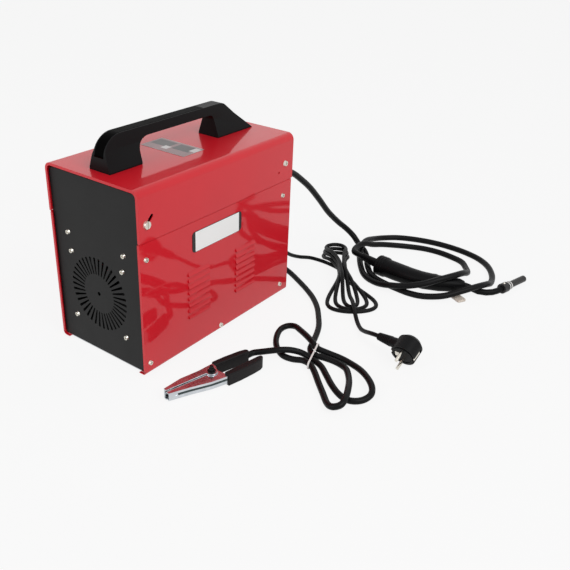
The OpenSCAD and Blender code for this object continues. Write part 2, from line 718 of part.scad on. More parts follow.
// Half of the body lofted through the sections; side: 1 above the seam, -1 below
module half_shell(side) {
    n = 10;
    count = n + 1;
    m = len(torch_sections);
    centres = [for (g = torch_sections) g[0]];
    points = [for (i = [0 : m - 1], k = [0 : n])
        let (g = torch_sections[i], t = along(centres, i), a = 180 * k / n)
        g[0] + g[1] * cos(a) * unit([-t[1], t[0], 0]) + [0, 0, side * g[2] * pow(sin(a), 0.8)]];
    walls = [for (i = [0 : m - 2], k = [0 : n - 1], h = [0, 1])
        let (a = i * count + k, b = a + 1, c = a + count, d = b + count)
        h == 0 ? [a, b, c] : [b, d, c]];
    floor_faces = [for (i = [0 : m - 2], h = [0, 1])
        let (a = i * count, b = i * count + n, c = a + count, d = b + count)
        h == 0 ? [a, c, b] : [b, c, d]];
    cap0 = [for (k = [n : -1 : 0]) k];
    cap1 = [for (k = [0 : n]) (m - 1) * count + k];
    faces = concat([cap0], walls, floor_faces, [cap1]);
    flipped = [for (f = faces) [for (k = [len(f) - 1 : -1 : 0]) f[k]]];
    polyhedron(points = points, faces = side < 0 ? faces : flipped);
}
nozzle_at = [-383.5, -408, 9.2];
nozzle_turn = 256;
// The trigger's frame: x along the handle, y out of its hollow side
module torch_place() translate([-215, -331.7, 17]) rotate([0, 0, 187.6]) children();
trigger_axle = 2;
trigger_at = [8, 7];
trigger_t = 14;
// The slot of the trigger and the seat of its axle
module trigger_cut() torch_place() {
    box([0, -0.5, -trigger_t / 2 - 0.5], [76, 30, trigger_t / 2 + 0.5]);
    translate([trigger_at[0], trigger_at[1], -10.2]) cylinder(r = trigger_axle + fit, h = 20.4);
}
boot_level = norm([boot_run[0], boot_run[1]]);
collar_run = torch_sections[1][0] - torch_sections[0][0];
collar_turn = atan2(collar_run[1], collar_run[0]);
module torch_shell_lower() color(black) {
    difference() {
        half_shell(-1);
        trigger_cut();
    }
    difference() {
        translate(boot_at) rotate([0, 90 - atan2(boot_run[2], boot_level), atan2(boot_run[1], boot_run[0])]) {
            cylinder(r1 = 6.5, r2 = 8.5, h = norm(boot_run) + 1.2);
        }
        translate(torch_sections[0][0]) rotate([0, 0, collar_turn]) box([-fit, -20, -0.02], [30, 20, 30]);
    }
}
module torch_shell_upper() color(black) difference() {
    half_shell(1);
    trigger_cut();
}
trigger_side = [
    [2.5, 4.5], [2, 12], [8, 17], [40, 15], [62, 16], [70, 18.5], [73, 16.5], [72, 10.5],
    [40, 8.5], [15, 4], [8, 2.5]
];
module torch_trigger() color([0.2, 0.2, 0.2]) torch_place() {
    translate([0, 0, -trigger_t / 2]) linear_extrude(trigger_t) polygon(trigger_side);
    translate([trigger_at[0], trigger_at[1], -10]) cylinder(r = trigger_axle, h = 20);
}
neck_path = [
    [-330, -370, 13.6], [-337, -373.6, 11.2], [-345, -375.6, 8.8], [-354, -377.5, 6.6],
    [-366, -383, 6.2], [-374.5, -390.5, 6.7], [-380, -399, 7.8], nozzle_at
];
nose_dir = unit([-6, -4, 0]);
module torch_neck() color(black) {
    tube(neck_path, 5.5, 12, nose_dir, [cos(nozzle_turn), sin(nozzle_turn), 0]);
}
module torch_nozzle() color("silver") translate(nozzle_at) rotate([0, 90, nozzle_turn]) difference() {
    union() {
        cylinder(r = 9, h = 14);
        translate([0, 0, 14 - eps]) cylinder(r = 7, h = 12);
        translate([0, 0, 26 - 2 * eps]) cylinder(r = 6, h = 40);
    }
    translate([0, 0, 46]) difference() {
        cylinder(r = 4.5, h = 30);
        translate([0, 0, -1]) cylinder(r = 2.8, h = 17);
    }
}

// ---- mains lead ----
hank_c = [-131, -284];
hank_turn = 130.5;
hank_n = 3;
climb = 7.8;
waist = 4.65;
// t counts the turns; each turn has a lower and an upper lobe
function mains_loop(t) =
    let (k = min(floor(t + 1e-9), hank_n),
         tau = 360 * (t - k),
         s = sin(tau),
         a = abs(s),
         low = tau <= 180,
         u = s * (low ? 140.3 - 8.2 * t : 85.7 + 1.7 * t),
         b = low ? 110.2 - 38.4 * t : 57.9 - 6.2 * t,
         v = cos(tau) * (waist + b * a * a),
         z = low ? climb * (k + smooth(tau, 36, 144)) * (1 - smooth(a, 0.34, 0.86))
                 : climb * (k + 1 - smooth(a, 0.45, 0.85)),
         q = hank_c + u * heading(hank_turn) + v * heading(hank_turn + 90))
    [q[0], q[1], mains_d / 2 + 0.4 + z];
mains_turns = [for (i = [0 : 48 * hank_n]) mains_loop(i / 48)];
mains_last = 48 * hank_n;
mains_from = [
    [-34, -192, 50], [-34, -212, 48], [-33, -238, 36], [-33, -262, 19], [-37, -286, 7],
    [-51, -301, 4], [-74, -304, 4], [-98, -302, 4], [-118, -297, 4]
];
mains_to = [
    [-149, -266, 27], [-166, -246, 18], [-181, -228, 9], [-193, -213, 8.6], [-206, -198, 11.9],
    [-219, -182, 11.9], [-232, -166, 8.5], [-245, -152, 4.6], [-258.5, -139, 5], [-272, -128, 10.5],
    [-284.5, -119.8, 16.8], [-295.5, -114.8, 20.8], [-304, -113, 22]
];
// The plug's strain relief, from inside its body to where the lead goes in
relief_at = [-342, -108, 24.5];
relief_run = [38, -5, -2.5];
relief_dip = atan2(relief_run[2], norm([relief_run[0], relief_run[1]]));
relief_turn = atan2(relief_run[1], relief_run[0]);
mains_dir0 = unit(mains_turns[1] - mains_turns[0]);
mains_dir1 = unit(mains_turns[mains_last] - mains_turns[mains_last - 1]);
module mains_lead() color(black) {
    tube(spline(concat(mains_from, [mains_turns[0]]), 2), mains_d / 2, 8, [0, -1, 0], mains_dir0);
    to_plug = spline(concat([mains_turns[mains_last]], mains_to), 2);
    tube(to_plug, mains_d / 2, 8, mains_dir1, -unit(relief_run));
}
module mains_hank() color(black) tube(mains_turns, mains_d / 2, 8, mains_dir0, mains_dir1);

plug_at = [-356, -93, 19];
plug_tilt = -111.7;
pin_pitch = 19;
pin_l = 19;
pin_r = 2.4;
root_r = 2;
module plug_place() translate(plug_at) rotate([plug_tilt, 0, 0]) children();
module plug_body() color(black) {
    plug_place() difference() {
        union() {
            translate([0, 0, -24]) cylinder(r = 19.6, h = 24);
            translate([0, 0, -30]) cylinder(r1 = 14, r2 = 19.6, h = 6 + eps);
        }
        for (s = [-1, 1]) translate([s * 18, 0, -10]) cube([5, 6, 21], center = true);
        for (s = [-1, 1]) translate([0, s * pin_pitch / 2, -12]) cylinder(r = root_r, h = 13);
    }
    translate(relief_at) rotate([0, 90 - relief_dip, relief_turn]) {
        cylinder(r1 = 9, r2 = 5.5, h = norm(relief_run));
    }
}
module plug_pins() color("goldenrod") plug_place() for (s = [-1, 1]) translate([0, s * pin_pitch / 2, 0]) {
    cylinder(r = pin_r, h = pin_l);
    translate([0, 0, -12]) cylinder(r = root_r, h = 12 + eps);
}

// ---- earth lead ----
// From the gland to the tie
earth_in = [
    [-12, -192, 26], [-12, -208, 23], [-18, -223, 14], [-36, -231, 7], [-60, -224, 5.2],
    [-88, -209, 5.2], [-117, -192, 5.2], [-144, -173, 5.2], [-168, -150, 5.2], [-190, -121.5, 5.2],
    [-202.5, -103, 5.2], [-211, -86, 5.2], [-218.5, -67.5, 5.2], [-224.5, -51, 5.2],
    [-230, -38, 5.6], [-237.5, -30, 6.4]
];
// Three lobes, each from the tie and back to it; the last knot is the fourth pass
earth_lobes = [
    [-245.9, -26.6, 6.8], [-262, -31, 6], [-277, -33, 5.4], [-291, -31, 5.4], [-303, -24.5, 6.4],
    [-320.5, -2, 9.5], [-334.5, 24, 14.5], [-343.5, 46, 15.6], [-344.5, 59, 13], [-335.5, 65.5, 9.5],
    [-323.5, 59.5, 6.2], [-305.5, 42.5, 5.2], [-287, 25.5, 5.2], [-270, 9.5, 5.8],
    [-255.3, -1.4, 6.8], [-240, -4.2, 6.2], [-225.5, 1.3, 5.2], [-210.6, 3.1, 5.2], [-196.1, -3.4, 5.2],
    [-180.8, -17.4, 5.2], [-168.3, -36.9, 5.2], [-161.8, -56, 5.2], [-165.5, -69.5, 6.2],
    [-178, -72, 9], [-194, -63, 12.6], [-212, -52.5, 15.4], [-230, -42, 16.6],
    [-242.9, -37.2, 12.5], [-260.8, -42, 8.4], [-278.7, -45.4, 6.2], [-297.7, -42.5, 6.6],
    [-319.1, -34.9, 8.4], [-338.9, -22, 10.2], [-354.2, -7.7, 10], [-361.2, 6.1, 8],
    [-358.6, 19.6, 5.8], [-350.3, 30.1, 5.2], [-338.6, 34.6, 5.2], [-322.8, 30, 5.2],
    [-304.5, 18.5, 5.2], [-286, 3.6, 5.2], [-268, -9.8, 5.8],
    [-249.2, -15.3, 6.8]
];
// From the tie to the clamp
earth_out = [
    [-233.5, -15.6, 9.4], [-224, -10, 13], [-214.1, -1.8, 15.4], [-203.5, 8.5, 15.8],
    [-194, 16, 14.2], [-184.5, 22.8, 12]
];
clamp_at = [-165, 115];
clamp_turn = 77;
clamp_dir = [cos(clamp_turn), sin(clamp_turn), 0];
grip_end = [-72, -9.6, 10];
// The middle of the fixed grip's end face, where the lead goes in
earth_end = [clamp_at[0], clamp_at[1], 0] + grip_end[0] * clamp_dir
    + grip_end[1] * [-sin(clamp_turn), cos(clamp_turn), 0] + [0, 0, grip_end[2]];
earth_path = spline(concat(earth_in, earth_lobes, earth_out, [earth_end - 12 * clamp_dir, earth_end]), 3);
lobes_from = 3 * len(earth_in);
lobes_to = lobes_from + 3 * (len(earth_lobes) - 1);
earth_stop = len(earth_path) - 1;
earth_dir0 = along(earth_path, lobes_from);
earth_dir1 = along(earth_path, lobes_to);
earth_turns = [for (i = [lobes_from : lobes_to]) earth_path[i]];
module earth_lead() color(black) {
    tube([for (i = [0 : lobes_from]) earth_path[i]], earth_d / 2, 8, [0, -1, 0], earth_dir0);
    tube([for (i = [lobes_to : earth_stop]) earth_path[i]], earth_d / 2, 8, earth_dir1, clamp_dir);
}
module earth_hank() color(black) tube(earth_turns, earth_d / 2, 8, earth_dir0, earth_dir1);

// A strap round the four passes, given across and up in its own plane
tie_c = [-247.5, -21];
tie_turn = 106;
tie_passes = [[-17.6, 13.2], [-5.8, 6.8], [6, 6.8], [21.6, 6.8]];
tie_in = earth_d / 2 + 0.85;
tie_t = 0.9;
module cable_tie() color("white") translate([tie_c[0], tie_c[1], 0]) rotate([0, 0, tie_turn]) {
    xz(-1.2, 2.4) difference() {
        hull() for (p = tie_passes) translate(p) circle(tie_in + tie_t);
        hull() for (p = tie_passes) translate(p) circle(tie_in);
    }
}

// ---- earth clamp, lying on its side ----
clamp_z = 2;
clamp_h = 16;
clamp_pin_r = 3;
strip = 1.5;
jaw_tip = 76;
channel_w = 6;
channel_end = -62;
grip_start = -14;
nest = strip + 0.3;
fixed_w = 15;
moving_w = 22.5;
module clamp_place() translate([clamp_at[0], clamp_at[1], 0]) rotate([0, 0, clamp_turn]) children();
// Outline of one cheek; side is 1 or -1, a is the half width at the grip's start
module cheek(side, a) difference() {
    union() {
        polygon([
            [jaw_tip, side * 0.6], [jaw_tip, side * 6], [45, side * 12], [14, side * (a - 3)],
            [grip_start, side * a], [channel_end, side * (a - 3)],
            [channel_end, side * (a - 3 - channel_w)], [grip_start, side * (a - channel_w)],
            [-9, 0], [8, 0]
        ]);
        circle(9);
    }
    circle(clamp_pin_r + fit);
}
// A pressed jaw: two cheeks and a back; lift sets how deep its cheeks nest
module jaw(side, a, lift) {
    for (z = [clamp_z + lift, clamp_z + clamp_h - lift - strip]) translate([0, 0, z]) {
        linear_extrude(strip) cheek(side, a);
    }
    translate([0, 0, clamp_z + lift]) linear_extrude(clamp_h - 2 * lift) polygon([
        [jaw_tip, side * 6], [45, side * 12], [14, side * (a - 3)], [grip_start, side * a],
        [channel_end, side * (a - 3)], [channel_end, side * (a - 3 - strip)],
        [grip_start, side * (a - strip)], [13.5, side * (a - 3 - strip)],
        [44.5, side * (12 - strip)], [jaw_tip - 1, side * (6 - strip)]
    ]);
}
// A sleeve over the end of a jaw
grip_top = clamp_z + clamp_h + 1.8;
wall = 2;
module sleeve(side, a, lift, x1) difference() {
    translate([0, 0, 0.2]) linear_extrude(grip_top - 0.2) polygon([
        [grip_start, side * (a + wall)], [x1, side * (a + wall - 2.6)],
        [x1, side * (a - channel_w - wall - 2.2)], [grip_start, side * (a - channel_w - wall)]
    ]);
    translate([0, 0, clamp_z + lift]) linear_extrude(clamp_h - 2 * lift) polygon([
        [grip_start + 1, side * (a + 3 / 48)], [grip_start, side * a],
        [channel_end, side * (a - 3)], [channel_end, side * (a - 3 - channel_w)],
        [grip_start, side * (a - channel_w)], [grip_start + 1, side * (a - channel_w)]
    ]);
}
module clamp_fixed_jaw() color("silver") clamp_place() jaw(-1, fixed_w, 0);
// A pressed groove along the moving jaw's outer face
module clamp_moving_jaw() color("silver") clamp_place() difference() {
    jaw(1, moving_w, nest);
    translate([0, 0, clamp_z + 8]) linear_extrude(2.6) polygon([
        [66, 9], [45, 13], [14, moving_w - 2], [-16, moving_w + 1], [-16, moving_w - 0.8],
        [14, moving_w - 3.8], [45, 11.2], [66, 7.1]
    ]);
}
module clamp_fixed_grip() color(black) clamp_place() sleeve(-1, fixed_w, 0, grip_end[0]);
module clamp_moving_grip() color(black) clamp_place() sleeve(1, moving_w, nest, -79);
module clamp_pin() color(black) clamp_place() {
    translate([0, 0, clamp_z - 1.2]) cylinder(r = clamp_pin_r, h = clamp_h + 2.4);
    translate([0, 0, clamp_z - 1.4]) cylinder(r = 6, h = 1.4);
    translate([0, 0, clamp_z + clamp_h]) cylinder(r = 6, h = 1.4);
    translate([0, 0, clamp_z + clamp_h + 1.4 - eps]) cylinder(r = 4, h = 4, $fn = 6);
    translate([0, 0, clamp_z + clamp_h + 5]) cylinder(r = 2.6, h = 3.6);
}
// A torsion spring round the pin: a leg to each jaw's back and its turns between
spring_wire = 1.6;
spring_r = 6;
spring_turns = 2.5;
spring_low = clamp_z + nest + strip + 0.4 + spring_wire / 2;
spring_pitch = (clamp_z + clamp_h / 2 - spring_low) * 2 / spring_turns;
spring_coil = [for (i = [0 : 24 * spring_turns]) let (a = 270 + 15 * i)
    [spring_r * cos(a), spring_r * sin(a), spring_low + spring_pitch * i / 24]];
spring_top = spring_coil[24 * spring_turns][2];
spring_path = concat(
    [[-12, -fixed_w + strip + 1, spring_low], [-10.6, -11.5, spring_low], [-7, -7.6, spring_low]],
    spring_coil,
    [[-7, 7.6, spring_top], [-10.6, 11.5, spring_top], [-13, moving_w - strip - 4.5, spring_top]]
);
module clamp_spring() color(black) clamp_place() {
    last = len(spring_path) - 1;
    tube(spring_path, spring_wire / 2, 6, along(spring_path, 0), along(spring_path, last));
}

echo(torch_gap = self_gap(spline(concat(torch_turn_1, torch_turn_2), 8), torch_d, 16));
echo(mains_gap = self_gap(mains_turns, mains_d, 8));
echo(earth_gap = self_gap(earth_turns, earth_d, 7));
echo(spring_gap = spring_pitch - spring_wire);

base_tray();
rubber_feet();
side_panel_left();
side_panel_right();
rear_panel();
front_panel();
mid_deck();
case_screws();
fan_frame();
fan_impeller();
transformer_core();
transformer_windings();
rectifier_heatsink();
rectifier_diodes();
control_board();
hood();
carry_handle();
handle_screws();
hood_pivot_screws();
latch_screws();
name_plate();
info_sticker();
torch_gland();
mains_gland();
earth_gland();
rocker_housings();
power_rocker();
range_rocker();
speed_pot();
speed_knob();
thermal_lamp();
feeder_plate();
feeder_motor();
drive_roller();
pressure_arm();
pressure_roller();
spool_spindle();
wire_spool();
wire_winding();
spool_nut();
torch_lead();
torch_coil();
torch_shell_lower();
torch_shell_upper();
torch_trigger();
torch_neck();
torch_nozzle();
mains_lead();
mains_hank();
plug_body();
plug_pins();
earth_lead();
earth_hank();
cable_tie();
clamp_fixed_jaw();
clamp_moving_jaw();
clamp_fixed_grip();
clamp_moving_grip();
clamp_pin();
clamp_spring();
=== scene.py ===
"""MIG welding machine with its torch, mains lead and earth clamp."""

import math

import bpy
from mathutils import Matrix, Vector


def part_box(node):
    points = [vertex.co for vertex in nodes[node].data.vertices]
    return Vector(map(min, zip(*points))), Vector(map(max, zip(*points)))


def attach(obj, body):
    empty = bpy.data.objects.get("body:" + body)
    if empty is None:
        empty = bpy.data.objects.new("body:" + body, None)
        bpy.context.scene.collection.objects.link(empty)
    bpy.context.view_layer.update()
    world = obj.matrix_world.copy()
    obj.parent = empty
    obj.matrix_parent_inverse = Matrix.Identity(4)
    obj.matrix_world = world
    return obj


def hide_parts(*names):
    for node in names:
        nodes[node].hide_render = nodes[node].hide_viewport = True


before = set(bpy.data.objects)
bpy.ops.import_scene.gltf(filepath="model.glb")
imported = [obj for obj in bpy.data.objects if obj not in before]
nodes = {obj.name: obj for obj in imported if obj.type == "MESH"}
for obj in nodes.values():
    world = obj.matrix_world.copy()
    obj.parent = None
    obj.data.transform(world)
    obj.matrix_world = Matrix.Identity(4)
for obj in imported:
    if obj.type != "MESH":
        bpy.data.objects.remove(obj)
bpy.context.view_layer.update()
bpy.ops.object.select_all(action="DESELECT")

# ---- Tray and feet ----
# The tray is folded zinc-plated steel sheet. Four turned rubber feet are
# bonded under its corners.


def finish(name, colour, rough, metal=0.0, mottle=0.06, patch=0.03, grain=0.001, relief=0.00002, shine=0.5):
    """A plain finish: colour and gloss vary over patches, above a fine grain raised by relief."""
    made = bpy.data.materials.new(name)
    made.use_nodes = True
    tree = made.node_tree
    shader = tree.nodes["Principled BSDF"]
    place = tree.nodes.new("ShaderNodeTexCoord")
    cloud = tree.nodes.new("ShaderNodeTexNoise")
    cloud.inputs["Scale"].default_value = 1 / patch
    cloud.inputs["Detail"].default_value = 4
    tint = tree.nodes.new("ShaderNodeValToRGB")
    tint.color_ramp.elements[0].position = 0.3
    tint.color_ramp.elements[1].position = 0.7
    tint.color_ramp.elements[0].color = [c * (1 - mottle) for c in colour] + [1]
    tint.color_ramp.elements[1].color = [min(1, c * (1 + mottle)) for c in colour] + [1]
    gloss = tree.nodes.new("ShaderNodeMapRange")
    gloss.inputs["To Min"].default_value = rough * 0.85
    gloss.inputs["To Max"].default_value = min(1, rough * 1.15)
    fine = tree.nodes.new("ShaderNodeTexNoise")
    fine.inputs["Scale"].default_value = 1 / grain
    fine.inputs["Detail"].default_value = 2
    bump = tree.nodes.new("ShaderNodeBump")
    bump.inputs["Distance"].default_value = relief
    tree.links.new(place.outputs["Object"], cloud.inputs["Vector"])
    tree.links.new(place.outputs["Object"], fine.inputs["Vector"])
    tree.links.new(cloud.outputs["Fac"], tint.inputs["Fac"])
    tree.links.new(cloud.outputs["Fac"], gloss.inputs["Value"])
    tree.links.new(fine.outputs["Fac"], bump.inputs["Height"])
    tree.links.new(tint.outputs["Color"], shader.inputs["Base Color"])
    tree.links.new(gloss.outputs["Result"], shader.inputs["Roughness"])
    tree.links.new(bump.outputs["Normal"], shader.inputs["Normal"])
    shader.inputs["Metallic"].default_value = metal
    shader.inputs["Specular IOR Level"].default_value = shine
    return made


def dress(made, *names):
    """Gives CAD nodes a finish."""
    for name in names:
        for slot in nodes[name].material_slots:
            slot.material = made


def soften(piece, width, steps=2, angle=35):
    """Rounds a piece's sharp edges and smooths its shading, with wide faces left flat."""
    bpy.ops.object.select_all(action="DESELECT")
    piece.select_set(True)
    bpy.context.view_layer.objects.active = piece
    edge = piece.modifiers.new("edge", "BEVEL")
    edge.width = width
    edge.segments = steps
    edge.limit_method = "ANGLE"
    edge.angle_limit = math.radians(angle)
    bpy.ops.object.modifier_apply(modifier=edge.name)
    bpy.ops.object.shade_smooth_by_angle(angle=math.radians(angle))
    flat = piece.modifiers.new("flat", "WEIGHTED_NORMAL")
    flat.keep_sharp = True
    bpy.ops.object.modifier_apply(modifier=flat.name)


def eased(node, name, width, steps=2, angle=35):
    """A copy of a node with its faces joined and its edges rounded."""
    bpy.ops.object.select_all(action="DESELECT")
    piece = bpy.data.objects.new(name, nodes[node].data.copy())
    bpy.context.scene.collection.objects.link(piece)
    piece.select_set(True)
    bpy.context.view_layer.objects.active = piece
    bpy.ops.mesh.customdata_custom_splitnormals_clear()
    bpy.ops.object.mode_set(mode="EDIT")
    bpy.ops.mesh.select_all(action="SELECT")
    bpy.ops.mesh.remove_doubles(threshold=0.00001)
    bpy.ops.mesh.dissolve_limited(angle_limit=math.radians(1))
    bpy.ops.object.mode_set(mode="OBJECT")
    soften(piece, width, steps, angle)
    return piece


def seat(piece, made, body, slot_name, *stands_for):
    """Gives a finished piece its material and its body and hides the nodes it stands for; slot_name is not
    used.
    """
    piece.data.materials.clear()
    piece.data.materials.append(made)
    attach(piece, body)
    if stands_for:
        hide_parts(*stands_for)


zinc = finish("zinc_plate", (0.55, 0.56, 0.58), 0.32, metal=1, mottle=0.12, patch=0.012, grain=0.003)
foot_rubber = finish("foot_rubber", (0.012, 0.012, 0.012), 0.75, grain=0.0008, relief=0.00005, shine=0.125)
dress(zinc, "base_tray")
seat(eased("rubber_feet", "feet", 0.0008), foot_rubber, "machine", "black_rubber", "rubber_feet")

# ---- Power parts under the deck ----
# A laminated transformer with enamelled copper windings, a bare aluminium heat
# sink with brass stud diodes and a circuit board stand on the tray. A 120 mm
# fan is screwed to the rear panel.


def stripes(made, axis, pitch, depth, shade=0.0):
    """Adds fine parallel ridges along an axis to a finish; shade darkens the furrows in the colour as painted
    shade.
    """
    tree = made.node_tree
    place = tree.nodes["Texture Coordinate"]
    grain = tree.nodes["Bump"]
    shader = tree.nodes["Principled BSDF"]
    wave = tree.nodes.new("ShaderNodeTexWave")
    wave.bands_direction = axis
    wave.inputs["Scale"].default_value = math.pi / 10 / pitch
    wave.inputs["Distortion"].default_value = 0.0
    ridge = tree.nodes.new("ShaderNodeBump")
    ridge.inputs["Distance"].default_value = depth
    tree.links.new(place.outputs["Object"], wave.inputs["Vector"])
    tree.links.new(wave.outputs["Fac"], ridge.inputs["Height"])
    tree.links.new(grain.outputs["Normal"], ridge.inputs["Normal"])
    tree.links.new(ridge.outputs["Normal"], shader.inputs["Normal"])
    # Painted shade: the colour is multiplied down in the furrows of the ridges.
    if shade:
        mix = tree.nodes.new("ShaderNodeMix")
        mix.data_type = "RGBA"
        mix.blend_type = "MULTIPLY"
        mix.inputs["Factor"].default_value = shade
        tree.links.new(tree.nodes["Color Ramp"].outputs["Color"], mix.inputs[6])
        tree.links.new(wave.outputs["Fac"], mix.inputs[7])
        tree.links.new(mix.outputs[2], shader.inputs["Base Color"])
    return made


def round_cord(name, route, width, smooth=4):
    """A round cord or wire along a route in metres."""
    line = bpy.data.curves.new(name, "CURVE")
    line.dimensions = "3D"
    spline = line.splines.new("POLY")
    spline.points.add(len(route) - 1)
    for point, place in zip(spline.points, route):
        point.co = (*place, 1)
    line.bevel_depth = width / 2
    line.bevel_resolution = smooth
    line.use_fill_caps = True
    cord = bpy.data.objects.new(name, line)
    bpy.context.scene.collection.objects.link(cord)
    return cord


def corner_loop(half_w, half_d, radius, steps=5):
    """Corners of a rounded rectangle, counter-clockwise, in its own plane."""
    loop = []
    for quarter, (side_x, side_y) in enumerate(((1, 1), (-1, 1), (-1, -1), (1, -1))):
        for i in range(steps + 1):
            a = math.radians(90 * (quarter + i / steps))
            x = side_x * (half_w - radius) + radius * math.cos(a)
            y = side_y * (half_d - radius) + radius * math.sin(a)
            loop.append((x, y))
    return loop


# Painted shade darkens the core's lamination lines, which are partly also their real dark joints, and the
# furrows between the windings' turns.
core_steel = stripes(finish("core_steel", (0.11, 0.11, 0.12), 0.5, metal=0.7), "Y", 0.0012, 0.0002, 0.5)
copper = stripes(finish("enamel_wire", (0.42, 0.12, 0.035), 0.28), "Z", 0.0016, 0.0004, 0.6)
alloy = stripes(finish("extruded_alloy", (0.72, 0.72, 0.73), 0.35, metal=1), "X", 0.0005, 0.00003)
brass = finish("turned_brass", (0.66, 0.48, 0.2), 0.3, metal=1)
board = finish("circuit_board", (0.02, 0.14, 0.05), 0.35, mottle=0.4, patch=0.006, grain=0.002, relief=0.0001)
fan_plastic = finish("fan_plastic", (0.008, 0.008, 0.009), 0.45, shine=0.3)
dress(core_steel, "transformer_core")
dress(alloy, "rectifier_heatsink")
dress(brass, "rectifier_diodes")
dress(board, "control_board")
dress(fan_plastic, "fan_frame", "fan_impeller")

low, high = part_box("transformer_windings")
coil_axis = (low + high) / 2
bobbins = eased("transformer_windings", "winding_bobbins", 0.001)
seat(bobbins, copper, "machine", "enamel_wire", "transformer_windings")
coil_wire = 0.0022
coil_corner = 0.006
leg_half_w, leg_half_d = 0.02, 0.028
sunk = 0.0004
for name, foot, top, depth in (("lower_turns", 0, 0.031, 0.018), ("upper_turns", 0.033, 0.057, 0.019)):
    turns = int((top - foot) / coil_wire)
    loop = corner_loop(leg_half_w + depth - sunk, leg_half_d + depth - sunk, coil_corner)
    wire = []
    for i in range(turns * len(loop)):
        x, y = loop[i % len(loop)]
        rise = coil_wire * (0.5 + i / len(loop))
        wire.append((coil_axis.x + x, coil_axis.y + y, low.z + foot + rise))
    seat(round_cord(name, wire, coil_wire, 2), copper, "machine", "enamel_wire")

# ---- Case panels ----
# Folded steel sheet: the sides in glossy red powder coat with pressed
# louvres, the ends in matt charcoal powder coat, screwed at their flanges.


def socket(made, **values):
    """Sets sockets of the finish's shader by name."""
    shader = made.node_tree.nodes["Principled BSDF"]
    for key, value in values.items():
        shader.inputs[key.replace("_", " ")].default_value = value
    return made


red_paint = finish(
    "red_powder_coat", (0.66, 0.005, 0.016), 0.42,
    mottle=0.03, patch=0.08, grain=0.0016, relief=0.000008, shine=0.15,
)
socket(red_paint, Coat_Weight=0.7, Coat_Roughness=0.05)
charcoal = finish(
    "charcoal_powder_coat", (0.013, 0.013, 0.013), 0.6, mottle=0.08, grain=0.0007, relief=0.00003, shine=0.22
)
for side in ("left", "right"):
    panel = f"side_panel_{side}"
    seat(eased(panel, f"{side}_side_sheet", 0.0002, 1), red_paint, "machine", "red_paint", panel)
dress(charcoal, "rear_panel", "front_panel")

# ---- Screws ----
# Nickel-plated pan head screws with cross recesses, driven through the panels
# into their flanges. Two more carry the hood's hinge and two latch it.

nickel = finish("nickel_plate", (0.70, 0.67, 0.60), 0.22, metal=1, mottle=0.08, patch=0.004)
dress(nickel, "case_screws", "hood_pivot_screws", "latch_screws", "handle_screws")

# ---- Wire feeder and spool ----
# A zinc-plated deck carries the feeder: motor, grooved drive roller, and a
# pressure arm with its roller. The spool of copper-coated wire sits behind it.

steel = finish("ground_steel", (0.5, 0.5, 0.52), 0.25, metal=1, mottle=0.1, patch=0.01)
motor_grey = finish("motor_paint", (0.06, 0.065, 0.07), 0.4)
arm_grey = finish("arm_casting", (0.13, 0.13, 0.135), 0.45, metal=0.6, grain=0.0015, relief=0.00008)
spool_black = finish("spool_plastic", (0.010, 0.010, 0.011), 0.4, shine=0.3)
# Painted shade darkens the furrows between the turns of the spool wire.
feed_wire = stripes(finish("copper_coated_wire", (0.75, 0.36, 0.17), 0.25, metal=1), "X", 0.0008, 0.0003, 0.5)
dress(zinc, "mid_deck", "feeder_plate", "spool_spindle")
dress(motor_grey, "feeder_motor")
dress(steel, "drive_roller", "pressure_roller")
dress(arm_grey, "pressure_arm")
dress(spool_black, "wire_spool", "spool_nut")


def chain(name, points):
    """A bare line through points, drawn out from one corner; it stays in edit mode."""
    bpy.ops.object.select_all(action="DESELECT")
    bpy.ops.mesh.primitive_plane_add(size=0.001, location=points[0])
    piece = bpy.context.object
    piece.name = name
    bpy.ops.object.mode_set(mode="EDIT")
    bpy.ops.mesh.select_all(action="SELECT")
    bpy.ops.mesh.merge(type="CENTER")
    for here, there in zip(points, points[1:]):
        bpy.ops.mesh.extrude_region_move(TRANSFORM_OT_translate={"value": Vector(there) - Vector(here)})
    bpy.ops.mesh.select_all(action="SELECT")
    return piece


def close_up(piece):
    """Merges doubles, turns the faces outwards and fixes the place in the mesh."""
    bpy.ops.mesh.select_all(action="SELECT")
    bpy.ops.mesh.remove_doubles(threshold=0.000001)
    bpy.ops.mesh.normals_make_consistent(inside=False)
    bpy.ops.object.mode_set(mode="OBJECT")
    bpy.ops.object.transform_apply(location=True, rotation=True, scale=True)
    return piece


def turned(name, heart, axis, profile, steps=32):
    """A profile of (radius, distance along the axis) pairs spun about the axis through heart."""
    side = Vector(axis).orthogonal().normalized()
    points = [Vector(heart) + side * r + Vector(axis) * d for r, d in profile]
    piece = chain(name, points)
    bpy.ops.mesh.spin(steps=steps, angle=2 * math.pi, center=heart, axis=axis)
    return close_up(piece)


low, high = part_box("wire_winding")
wound_heart = (low.x, (low.y + high.y) / 2, (low.z + high.z) / 2)
wound_long = high.x - low.x
wound_edge = (high.z - low.z) / 2
hub_edge = 0.0218
furrow = 0.0006
turn_pitch = 0.0011
turns = int(wound_long / turn_pitch)
lay = [(hub_edge, 0)]
for i in range(turns):
    lay += [(wound_edge - furrow, wound_long * i / turns), (wound_edge, wound_long * (i + 0.5) / turns)]
lay += [(wound_edge - furrow, wound_long), (hub_edge, wound_long), (hub_edge, 0)]
wound = turned("wound_wire", wound_heart, (1, 0, 0), lay, 48)
bpy.context.view_layer.objects.active = wound
bpy.ops.object.shade_smooth_by_angle(angle=math.radians(50))
seat(wound, feed_wire, "spool", "copper_wire", "wire_winding")

# ---- Front controls ----
# Two moulded rocker switches snap into the front panel. A speed knob is
# pushed on its potentiometer, and an amber lamp sits beside them.

